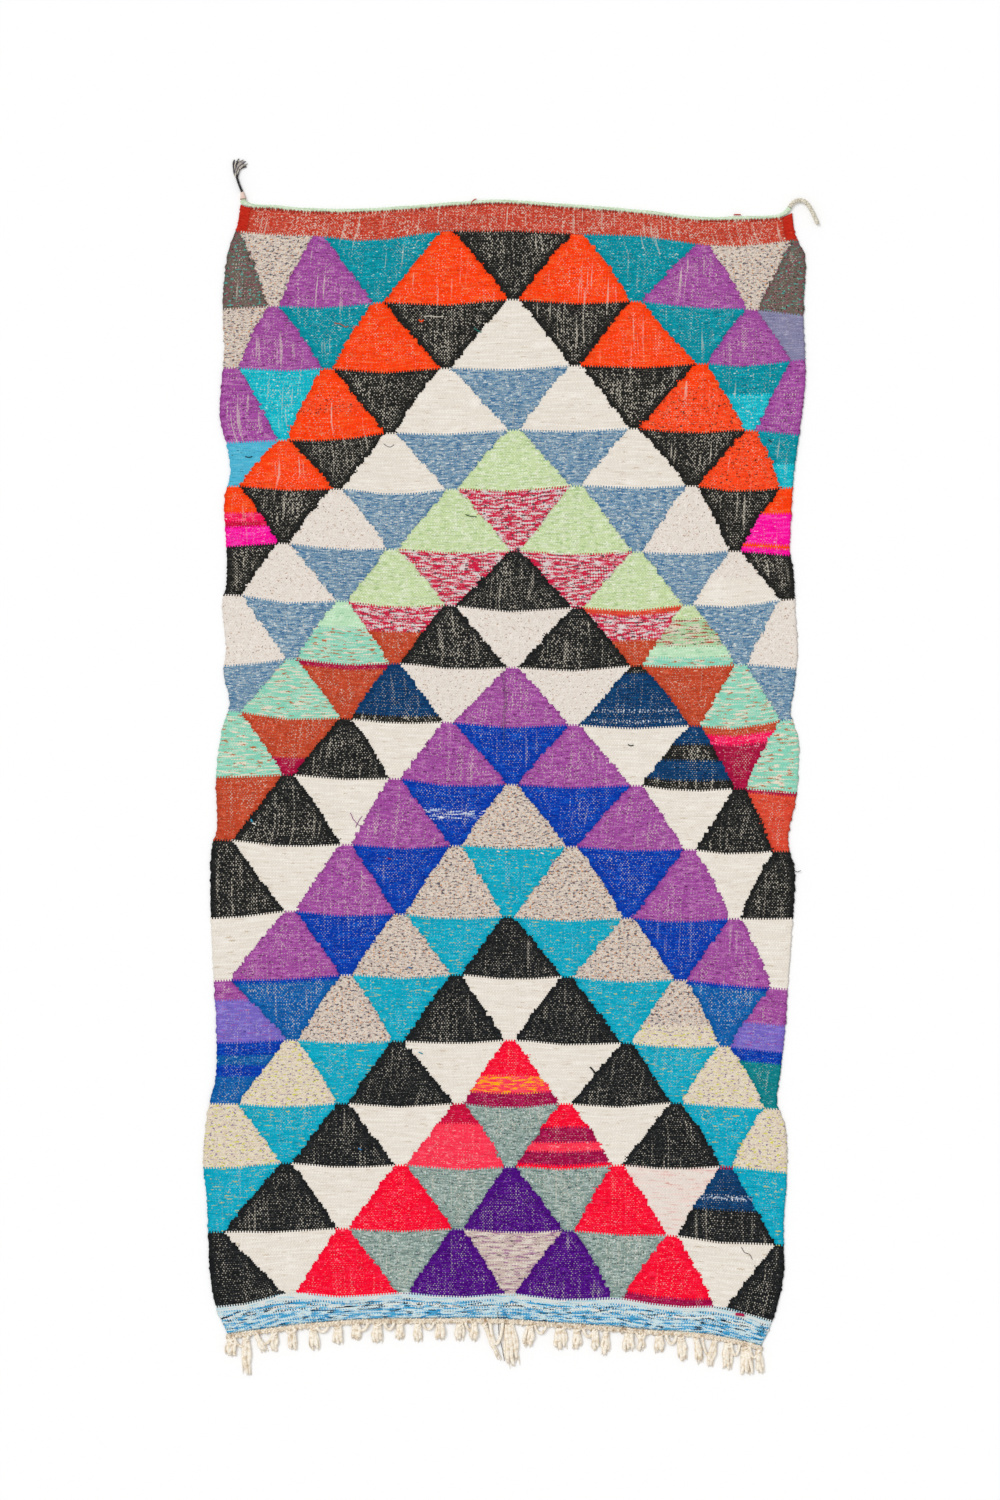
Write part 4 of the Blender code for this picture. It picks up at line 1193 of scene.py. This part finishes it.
@dataclass
class CornerTies:
    """The two ties at the top corners, with the left one's wrapping and tuft."""

    dye: Dye
    left_diameter: float = 0.006
    right_diameter: float = 0.009
    left_turns: float = 240  # a metre
    right_turns: float = 70
    groove: float = 0.26  # between the two plies, of the radius
    girth: float = 1.24  # over the lobes, so that the thinner twisted section keeps the cord's thickness
    left_route: tuple[Point, ...] = (
        (-656.4, 1488.2), (-658, 1492.5), (-659.8, 1497), (-661.8, 1502), (-663.8, 1507), (-665.6, 1512),
        (-667.2, 1517), (-668.6, 1522), (-669.5, 1526),
    )
    right_route: tuple[Point, ...] = (
        (712.8, 1449.1), (715.5, 1454.2), (719.7, 1459.2), (725.5, 1463.3), (733, 1466), (741, 1466.5),
        (748.5, 1464.4), (755, 1459.8), (760.5, 1453), (764.8, 1446), (768.8, 1438.5), (772.6, 1430.5),
        (776.3, 1422.3), (779.8, 1414.8), (783, 1408),
    )
    wrap_route: tuple[Point, ...] = ((-653.2, 1469.3), (-654.2, 1478), (-656, 1487))
    wrap_flatness: float = 0.78
    tuft_locks: int = 42
    tuft_way: float = 120.0  # degrees, of its first lock
    tuft_fan: float = 44.0  # degrees from its first lock to its last
    tuft_bend: float = 76.0  # degrees along a lock
    knot_radii: tuple[float, ...] = (0.0026, 0.0036, 0.0040, 0.0036, 0.0022)

    def build(self) -> None:
        """Builds both ties."""
        tuft, wrap = self.build_tuft(), self.build_wrap()
        left = self.build_tie("grey_tie", self.left_route, self.left_diameter, self.left_turns, GREY_PLY)
        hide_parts("corner_tie_left")
        self.declare(left, self.left_diameter, "knot", "limp", [wrap, tuft])
        right = self.build_tie("cream_tie", self.right_route, self.right_diameter, self.right_turns, TIE_PLY)
        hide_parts("corner_tie_right")
        self.declare(right, self.right_diameter, "bare", "limp", [])

    def build_tie(
        self, name: str, route: tuple[Point, ...], diameter: float, turns: float, ply: Ply
    ) -> tuple[bpy.types.Object, np.ndarray]:
        """Builds a twisted tie.

        Args:
            name: the piece's name.
            route: its route in millimetres.
            diameter: its diameter.
            turns: its turns a metre.
            ply: its finish.

        Returns:
            The tie and its centreline.
        """
        radius = diameter / 2 * self.girth
        path = along_curve(route, 0.0012, radius + 0.0001)
        bundle = Bundle(name)
        bundle.tube(path, radius, 14, 2, self.groove, turns)
        tie = bundle.build(self.dye.cord(name, ply))
        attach(tie, "root")
        return tie, path

    @staticmethod
    def declare(
        tie: tuple[bpy.types.Object, np.ndarray], diameter: float, far_end: str, stiffness: str,
        on_it: list[bpy.types.Object],
    ) -> None:
        """Does nothing: the tie is not declared as a free cord.

        Args:
            tie: the tie and its centreline; not used.
            diameter: its diameter; not used.
            far_end: what its far end is; not used.
            stiffness: how stiff it is; not used.
            on_it: the pieces at its ends; not used.
        """

    def build_wrap(self) -> bpy.types.Object:
        """Builds the beige yarn wound round the left tie's root.

        Returns:
            The wrapping.
        """
        path = along_curve(self.wrap_route, 0.0004, 0.0)
        radii = 0.0048 + 0.0034 * (1 - np.linspace(0, 1, len(path))) ** 1.6
        path[:, 2] = radii * self.wrap_flatness
        winding = 0.93 + 0.07 * np.cos(np.arange(len(path)) * TURN / 5)
        bundle = Bundle("corner_wrapping")
        bundle.tube(path, radii * winding, 14, flat=self.wrap_flatness)
        wrap = bundle.build(self.dye.cord("beige_wrapping", WRAP_PLY))
        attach(wrap, "root")
        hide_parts("corner_wrap_left")
        return wrap

    def build_tuft(self) -> bpy.types.Object:
        """Builds the tuft of grey and cream yarn at the left tie's end.

        Returns:
            The tuft.
        """
        bundle = Bundle("corner_tuft")
        root = np.array([*self.left_route[-1], 3.2]) * MM
        t = np.linspace(0, 1, 12)
        for i in range(self.tuft_locks):
            share = (i + scatter(i, 1) * 0.8) / self.tuft_locks
            start = math.radians(self.tuft_way - self.tuft_fan * share)
            heading = start - math.radians(self.tuft_bend) * (0.6 + 0.7 * scatter(i, 2)) * t**1.4
            reach = 0.037 + 0.011 * scatter(i, 3)
            steps = np.column_stack([np.cos(heading), np.sin(heading)]) * (reach / 11)
            flat = np.cumsum(np.vstack([[0, 0], steps[:-1]]), axis=0)
            bow = 0.0010 * np.sin(t * 9 + i) + 0.0030 * (0.5 - share) * (1 - t)
            across = np.array([-math.sin(start), math.cos(start)]) * bow[:, None]
            lift = 0.0016 * scatter(i, 4) * np.sin(t * math.pi) + 0.0022 * (1 - t) * scatter(i, 5)
            path = np.column_stack([root[:2] + flat + across, 0.0018 + lift])
            radii = 0.0015 * (0.75 + 0.5 * scatter(i, 6)) * (1 - 0.45 * t**3)
            bundle.tube(path, radii, 5, tint=TUFT_TINTS[i % len(TUFT_TINTS)])
        knot = np.array([root + [0.0, -0.0004 + 0.0011 * i, 0.0] for i in range(len(self.knot_radii))])
        bundle.tube(knot, np.array(self.knot_radii), 10, flat=0.8, tint="2A2628")
        tuft = bundle.build(self.dye.tinted("grey_tuft"), read_tint=True)
        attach(tuft, "root")
        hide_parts("corner_tuft_left")
        return tuft


@dataclass
class HeadingCord:
    """The pale green cord that binds the top end, with an ear turned up at each corner."""

    dye: Dye
    diameter: float = 0.009
    gap: float = 0.0005
    inset: float = 0.035
    flatness: float = 0.62
    turns: float = 46  # a metre
    groove: float = 0.18  # between the two plies, of the radius
    fill_radius: float = 0.0046
    left_ear: tuple[Point, ...] = ((-653, 1469.2), (-651.9, 1463.2), (-648.3, 1459.8), (-642, 1457))
    left_fill: tuple[Point, ...] = ((-656, 1465), (-655, 1460.5), (-649, 1458), (-641, 1455.5))
    right_ear: tuple[Point, ...] = ((698, 1432.8), (705.4, 1438.2), (709.8, 1443.2), (712.4, 1448.4))

    def build(self) -> bpy.types.Object:
        """Builds the cord.

        Returns:
            The cord.
        """
        across = np.linspace(TOP_END[0][0] * MM + self.inset, TOP_END[-1][0] * MM - self.inset, 52)
        reach = read_edge(TOP_END, across) + self.diameter / 2 + self.gap
        middle = [(x / MM, y / MM) for x, y in zip(across, reach)]
        path = along_curve([*self.left_ear, *middle, *self.right_ear], 0.0015, self.diameter / 2)
        x = path[:, 0]
        path[:, 1] += 0.0005 * sway(5, x * 60)
        ears = 0.40 * np.exp(-(((x + 0.649) / 0.009) ** 2)) + 0.25 * np.exp(-(((x - 0.708) / 0.009) ** 2))
        radii = self.diameter / 2 * (1.10 + ears + 0.06 * sway(9, x * 90))
        path[:, 2] = radii * self.flatness
        bundle = Bundle("heading_cord")
        bundle.tube(path, radii, 14, 2, self.groove, self.turns, self.flatness)
        fill = along_curve(self.left_fill, 0.0015, self.fill_radius * self.flatness)
        bundle.tube(fill, self.fill_radius, 12, flat=self.flatness)
        cord = bundle.build(self.dye.cord("green_braid", GREEN_PLY))
        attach(cord, "root")
        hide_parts("heading_braid")
        return cord


@dataclass(frozen=True)
class Tassel:
    """A tassel: its root's X, its tip's X and Y, its brush's width, in mm."""

    root: float
    tip: float
    tip_y: float
    width: float


TASSELS = [
    Tassel(*row)
    for row in (
        (-681, -687, -1420, 30), (-646, -644, -1463, 26), (-621, -598, -1410, 16), (-574, -575, -1408, 18),
        (-531, -527, -1404, 26), (-479, -474, -1407, 28), (-416, -415, -1390, 25), (-371, -369, -1382, 24),
        (-317, -316, -1387, 33), (-261, -260, -1381, 25), (-216, -214, -1384, 24), (-161, -160, -1382, 26),
        (-111, -109, -1382, 24), (-75, -76, -1385, 17), (-51, -14, -1425, 8), (11, 21, -1446, 36),
        (64, 61, -1397, 26), (141, 141, -1405, 30), (181, 182, -1402, 24), (226, 226, -1407, 18),
        (254, 254, -1416, 18), (311, 309, -1411, 24), (341, 344, -1407, 16), (386, 386, -1414, 25),
        (441, 446, -1429, 26), (478, 489, -1440, 17), (526, 514, -1444, 18), (559, 556, -1454, 28),
        (601, 606, -1467, 35), (634, 642, -1463, 18),
    )
]


@dataclass(frozen=True)
class Loop:
    """A hanging loop between two tassels: its ends' X and its lowest Y, in mm."""

    left: float
    right: float
    low: float


LOOPS = [
    Loop(*row)
    for row in (
        (-676, -640, -1398), (-618, -578, -1392), (-545, -522, -1366), (-470, -440, -1362), (-372, -340, -1358),
        (-300, -276, -1356), (-205, -176, -1356), (-98, -72, -1358), (-36, -4, -1392), (76, 104, -1366),
        (196, 224, -1374), (330, 352, -1382), (404, 430, -1392), (494, 528, -1422), (566, 588, -1420),
        (612, 636, -1426),
    )
]


@dataclass
class Fringe:
    """The plaited edge below the bottom band, with its knotted tassels."""

    dye: Dye
    plait_width: float = 0.013
    plait_top: float = 0.0005
    strand: float = 0.0028
    repeat: float = 0.026
    yarn: float = 0.0040
    pitch: float = 6.4  # mm of a brush's width to each thick yarn
    hairs: int = 12
    hair: float = 0.26  # of the yarn's radius
    stitches: int = 104

    def plait(self) -> bpy.types.Object:
        """Builds the three-strand plait along the bottom end, with stitches over it.

        Returns:
            The plait.
        """
        left, right = BOTTOM_END[0][0] * MM - 0.004, BOTTOM_END[-1][0] * MM + 0.004
        x = np.arange(left, right, 0.0019)
        edge = read_edge(BOTTOM_END, x) - self.plait_top - self.plait_width / 2
        slope = np.gradient(edge, x)
        turn = TURN / self.repeat * x + 1.2 * sway(2, x * 9)
        half = self.plait_width / 2 - self.strand
        bundle = Bundle("plaited_edge")
        for i in range(3):
            phase = turn + i * TURN / 3
            for ply, off in ((0, -0.55), (1, 0.55)):
                swing = half * np.sin(phase) * (1 + 0.15 * sway(i + 4, x * 31))
                y = edge + swing + off * self.strand * np.cos(phase)
                z = self.strand + 0.0016 + 0.0017 * np.sin(2 * phase) + 0.0003 * (1 if ply else -1)
                path = np.column_stack([x - slope * swing, y, z])
                bundle.tube(path, self.strand * 0.78 * (1 + 0.22 * sway(i + ply * 3, x * 70)), 6)
        t = np.linspace(0, 1, 9)
        for i in range(self.stitches):
            middle = left + (i + 0.3 + 0.5 * scatter(i, 21)) / self.stitches * (right - left)
            across = middle + 0.009 * (scatter(i, 22) - 0.35) * (t - 0.5)
            top = read_edge(BOTTOM_END, across) - self.plait_top
            y = top + 0.0005 - (self.plait_width + 0.0005 + 0.003 * scatter(i, 23)) * t
            z = 0.0022 + 0.0056 * np.sin(math.pi * (0.12 + 0.76 * t))
            bundle.tube(np.column_stack([across, y, z]), 0.0017 * (0.8 + 0.6 * scatter(i, 24)), 6)
        plait = bundle.build(self.dye.cord("plaited_wool", PLAIT_PLY))
        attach(plait, "root")
        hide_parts("fringe")
        return plait

    def tassels(self) -> bpy.types.Object:
        """Builds the knots, brushes and loops.

        Returns:
            All of them as one piece.
        """
        bundle = Bundle("tassels")
        for number, tassel in enumerate(TASSELS):
            y = float(read_edge(BOTTOM_END, np.array([tassel.root * MM]))[0]) - self.plait_top - self.plait_width
            start = np.array([tassel.root * MM, y])
            way = np.array([tassel.tip * MM, tassel.tip_y * MM]) - start
            length = float(np.linalg.norm(way))
            self.knot(bundle, number, tassel, start, way / length)
            self.brush(bundle, number, tassel, start, way / length, length)
        for number, loop in enumerate(LOOPS):
            self.loop(bundle, number, loop)
        made = bundle.build(self.dye.cord("warp_wool", CREAM_PLY))
        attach(made, "root")
        return made

    def knot(self, bundle: Bundle, number: int, tassel: Tassel, start: np.ndarray, way: np.ndarray) -> None:
        """Adds the overhand knot at a tassel's root: two fat turns that cross.

        Args:
            bundle: the tubes that it joins.
            number: the tassel's number, which sets its odd shapes.
            tassel: its row of the table.
            start: its root.
            way: the unit vector along it.
        """
        side = np.array([-way[1], way[0]])
        size = min(0.0085, max(0.0040, tassel.width * MM * 0.28))
        t = np.linspace(0, TURN, 17)
        for turn in range(2):
            tilt = (0.45 if turn else -0.4) + 0.5 * (scatter(number, turn) - 0.5)
            along = np.sin(t) * 0.0020 + np.cos(t) * size * tilt
            flat = start + way * (0.002 + 0.005 * turn) + np.outer(np.cos(t) * size, side) + np.outer(along, way)
            bundle.tube(np.column_stack([flat, 0.0056 + np.sin(t) * 0.0030]), 0.0027, 7)

    def brush(
        self, bundle: Bundle, number: int, tassel: Tassel, start: np.ndarray, way: np.ndarray, length: float
    ) -> None:
        """Adds a tassel's thick yarn ends, soft and blunt, with finer hairs among them.

        Args:
            bundle: the tubes that it joins.
            number: the tassel's number, which sets its odd shapes.
            tassel: its row of the table.
            start: its root.
            way: the unit vector along it.
            length: its length.
        """
        side = np.array([-way[1], way[0]])
        thick = max(2, round(tassel.width / self.pitch))
        t = np.linspace(0, 1, 11)
        open_out = 0.60 + 0.40 * np.clip(t * 1.6, 0, 1) ** 0.8
        for i in range(thick + self.hairs):
            hair = i >= thick
            share = ((i - thick + 0.5) / self.hairs if hair else (i + 0.5) / thick) * 2 - 1
            odd = [scatter(number, i, n) - 0.5 for n in range(7)]
            reach = length * (0.98 + 0.30 * odd[0] if hair else 1.05 + 0.26 * (odd[0] - 0.3) - 0.10 * share**2)
            spread = (share * 0.84 + 0.34 * odd[1]) * tassel.width * MM * 0.5
            wave = (0.0100 * odd[2] + 0.0012) * np.sin(t * (6 + 6 * odd[3]) + 6 * odd[5])
            flat = start + np.outer(t * reach, way) + np.outer(open_out * spread + wave * t, side)
            size = self.yarn * (self.hair if hair else 0.75 + 0.60 * (0.5 + odd[3]))
            beads = 1 + 0.10 * np.sin(t * 17 + 9 * odd[6])
            radii = size * (0.78 + 0.32 * np.sin(t * math.pi * 0.9)) * beads * np.where(t > 0.95, 0.6, 1.0)
            lift = 0.0020 * (1 - t) * (0.5 + odd[4]) + 0.0022 * (0.5 + odd[6]) * np.sin(t * math.pi)
            z = size * 1.08 + lift * (1.6 if hair else 1.0) + (0.003 if hair else 0.0) * (1 - t)
            bundle.tube(np.column_stack([flat, z]), radii, 5 if hair else 9, flat=1.0 if hair else 0.8)

    def loop(self, bundle: Bundle, number: int, loop: Loop) -> None:
        """Adds a thick yarn that hangs in a loop below the plait.

        Args:
            bundle: the tubes that it joins.
            number: the loop's number, which sets its thickness.
            loop: its row of the table.
        """
        t = np.linspace(0, 1, 15)
        x = loop.left + (loop.right - loop.left) * t
        top = read_edge(BOTTOM_END, x * MM) / MM - 1000 * (self.plait_top + self.plait_width * 0.7)
        y = top + (loop.low - top) * np.sin(math.pi * t) ** 0.7
        z = self.yarn * (1.2 + 0.6 * np.cos(math.pi * t) ** 2)
        bundle.tube(np.column_stack([x * MM, y * MM, z]), self.yarn * (0.75 + 0.3 * scatter(number, 8)), 8)


@dataclass(frozen=True)
class Stray:
    """A stray yarn end on the cloth: its colour, radius in mm, and X and Y along it in mm."""

    tint: str
    radius: float
    points: tuple[Point, ...]


STRAYS = [
    Stray(*row)
    for row in (
        ("D9D2C4", 1.1, ((-201, 1176), (-184, 1177), (-168, 1175), (-152, 1176))),
        ("E8481C", 2.2, ((-214, 1168), (-208, 1163), (-202, 1167))),
        ("2C6E68", 1.6, ((-76, 1148), (-68, 1141), (-58, 1137))),
        ("B4573C", 1.2, ((-426, 1160), (-410, 1157), (-398, 1150), (-390, 1152))),
        ("1C2A30", 1.2, ((-648, 826), (-639, 824), (-630, 826))),
        ("6E6C6A", 0.8, ((-302, 858), (-294, 852), (-285, 850), (-276, 856))),
        ("22303A", 1.3, ((660, 868), (668, 862))),
        ("3C4A34", 1.1, ((-98, 681), (-86, 677), (-70, 675))),
        ("26241F", 1.4, ((308, 106), (316, 103), (322, 105))),
        ("3CA6C8", 1.9, ((-634, -80), (-630, -87))),
        ("E6E2DC", 1.9, ((-630, -90), (-622, -93))),
        ("8E4C8C", 0.8, ((-385, -64), (-378, -80), (-368, -92), (-360, -97))),
        ("8E4C8C", 0.8, ((-356, -72), (-366, -88), (-372, -101))),
        ("8C2A58", 1.8, ((-292, -178), (-284, -180))),
        ("E8E6E0", 1.6, ((-19, -160), (-12, -162))),
        ("E8E6E0", 1.6, ((90, -164), (98, -167))),
        ("9C5C9A", 0.8, ((114, -182), (122, -190), (118, -199))),
        ("2C8EA0", 1.4, ((-214, -663), (-205, -667))),
        ("2878B4", 1.5, ((-366, -903), (-357, -907))),
        ("2878B4", 1.5, ((-240, -450), (-232, -454))),
        ("1C1C1A", 2.0, ((214, -700), (221, -708), (226, -716))),
        ("B02450", 3.6, ((577, -1317), (588, -1318), (599, -1320))),
        ("2A2826", 0.7, ((592, -1150), (600, -1163), (612, -1168), (620, -1181))),
        ("2A2826", 0.8, ((722, -206), (731, -212), (741, -209))),
        ("3A362C", 0.8, ((-17, -1312), (-15, -1345), (-13, -1372), (-6, -1402), (0, -1434))),
        ("B23A26", 1.3, ((-84, 1458), (-78, 1466), (-70, 1470))),
        ("B23A26", 1.6, ((573, 1430), (582, 1430.5), (591, 1430))),
    )
]


@dataclass
class LooseYarns:
    """The stray ends of yarn on the cloth, and the stitches that bind the heading cord to it."""

    dye: Dye
    above: float = 0.0036
    bindings: int = 170
    inset: float = 0.020
    stitch: float = 0.0012
    stitch_tints: tuple[str, str] = ("E8CDBA", "A83226")
    pale_from: float = 0.62

    def build(self, cloth: WovenCloth) -> bpy.types.Object:
        """Lays each stray end and stitch.

        Args:
            cloth: the cloth that they lie on.

        Returns:
            All of them as one piece.
        """
        bundle = Bundle("loose_yarns")
        for stray in STRAYS:
            path = along_curve(stray.points, 0.002, 0.0)
            path[:, 2] = cloth.relief(path[:, 0], path[:, 1]) + self.above + stray.radius * MM * 0.7
            path[:, 0] += 0.0006 * sway(stray.radius, path[:, 1] * 400)
            bundle.tube(path, stray.radius * MM, 6, tint=stray.tint)
        self.bind(bundle)
        made = bundle.build(self.dye.tinted("stray_yarn"), read_tint=True)
        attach(made, "root")
        return made

    def bind(self, bundle: Bundle) -> None:
        """Adds the short terracotta and cream stitches that bind the heading cord to the top end.

        Args:
            bundle: the tubes that they join.
        """
        left, right = TOP_END[0][0] * MM + self.inset, TOP_END[-1][0] * MM - self.inset
        t = np.linspace(0, 1, 4)
        for i in range(self.bindings):
            x = left + (i + 0.3 + 0.4 * scatter(i, 31)) / self.bindings * (right - left)
            edge = float(read_edge(TOP_END, np.array([x]))[0]) + 0.0030
            y = edge - (0.0060 + 0.0030 * scatter(i, 32)) * t
            path = np.column_stack([np.full(4, x), y, 0.0054 + 0.0008 * np.sin(math.pi * t)])
            bundle.tube(path, self.stitch, 5, tint=self.stitch_tints[scatter(i, 33) <= self.pale_from])


# ---------------------------------------------------------------- the studio


@dataclass
class Studio:
    """The pale floor, the soft light, and the camera straight above."""

    dye: Dye
    photo_height: int = 1500
    metres_a_pixel: float = 0.0025
    centre: Point = (-11.25, 92.5)
    lens: float = 85.0
    sensor: float = 36.0
    floor_side: float = 16.0
    sky: float = 0.70
    sun: float = 1.25
    sun_spread: float = 30.0  # degrees
    sun_tilt: Point = (-24.0, -30.0)  # degrees about X and Y

    def camera(self) -> None:
        """Places the camera so that the frame covers the photo's view."""
        data = bpy.data.cameras.new("camera")
        data.lens, data.sensor_width = self.lens, self.sensor
        view = bpy.data.objects.new("camera", data)
        away = self.photo_height * self.metres_a_pixel * self.lens / self.sensor
        view.location = (self.centre[0] * MM, self.centre[1] * MM, away + 0.003)
        bpy.context.scene.collection.objects.link(view)
        bpy.context.scene.camera = view
        LOG.info("camera: %.2f m up", away)

    def floor(self) -> None:
        """Lays the floor under the rug."""
        bpy.ops.object.select_all(action="DESELECT")
        bpy.ops.mesh.primitive_plane_add(size=self.floor_side, location=(0, 0, -0.0003))
        floor = bpy.context.object
        floor.name = "floor"
        floor.data.materials.append(self.dye.floor())

    def light(self) -> None:
        """Lights the scene evenly, a little more from the upper left."""
        scene = bpy.context.scene
        scene.view_settings.view_transform = "Standard"
        scene.world = bpy.data.worlds.new("soft_studio")
        scene.world.use_nodes = True
        sky = scene.world.node_tree.nodes["Background"]
        sky.inputs[0].default_value = (1.0, 1.0, 1.0, 1.0)
        sky.inputs[1].default_value = self.sky
        lamp = bpy.data.lights.new("soft_light", "SUN")
        lamp.energy, lamp.angle = self.sun, math.radians(self.sun_spread)
        light = bpy.data.objects.new("soft_light", lamp)
        light.rotation_euler = (*map(math.radians, self.sun_tilt), 0.0)
        scene.collection.objects.link(light)


# ---------------------------------------------------------------- all together


def main() -> None:
    """Builds the rug's pieces in order."""
    logging.basicConfig(level=logging.INFO, format="%(name)s %(message)s")
    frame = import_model()
    effects = Effects()
    effects.build()
    dye = Dye(effects)
    studio = Studio(dye)
    studio.camera()
    CornerTies(dye).build()
    cloth_maker = WovenCloth(dye, frame["nodes"]["rug_cloth"])
    cloth = cloth_maker.build()
    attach(cloth, "root")
    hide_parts("rug_cloth")
    heading = HeadingCord(dye).build()
    fringe = Fringe(dye)
    plait = fringe.plait()
    tassels = fringe.tassels()
    strays = LooseYarns(dye).build(cloth_maker)
    studio.floor()
    studio.light()


if __name__ == "__main__":
    main()
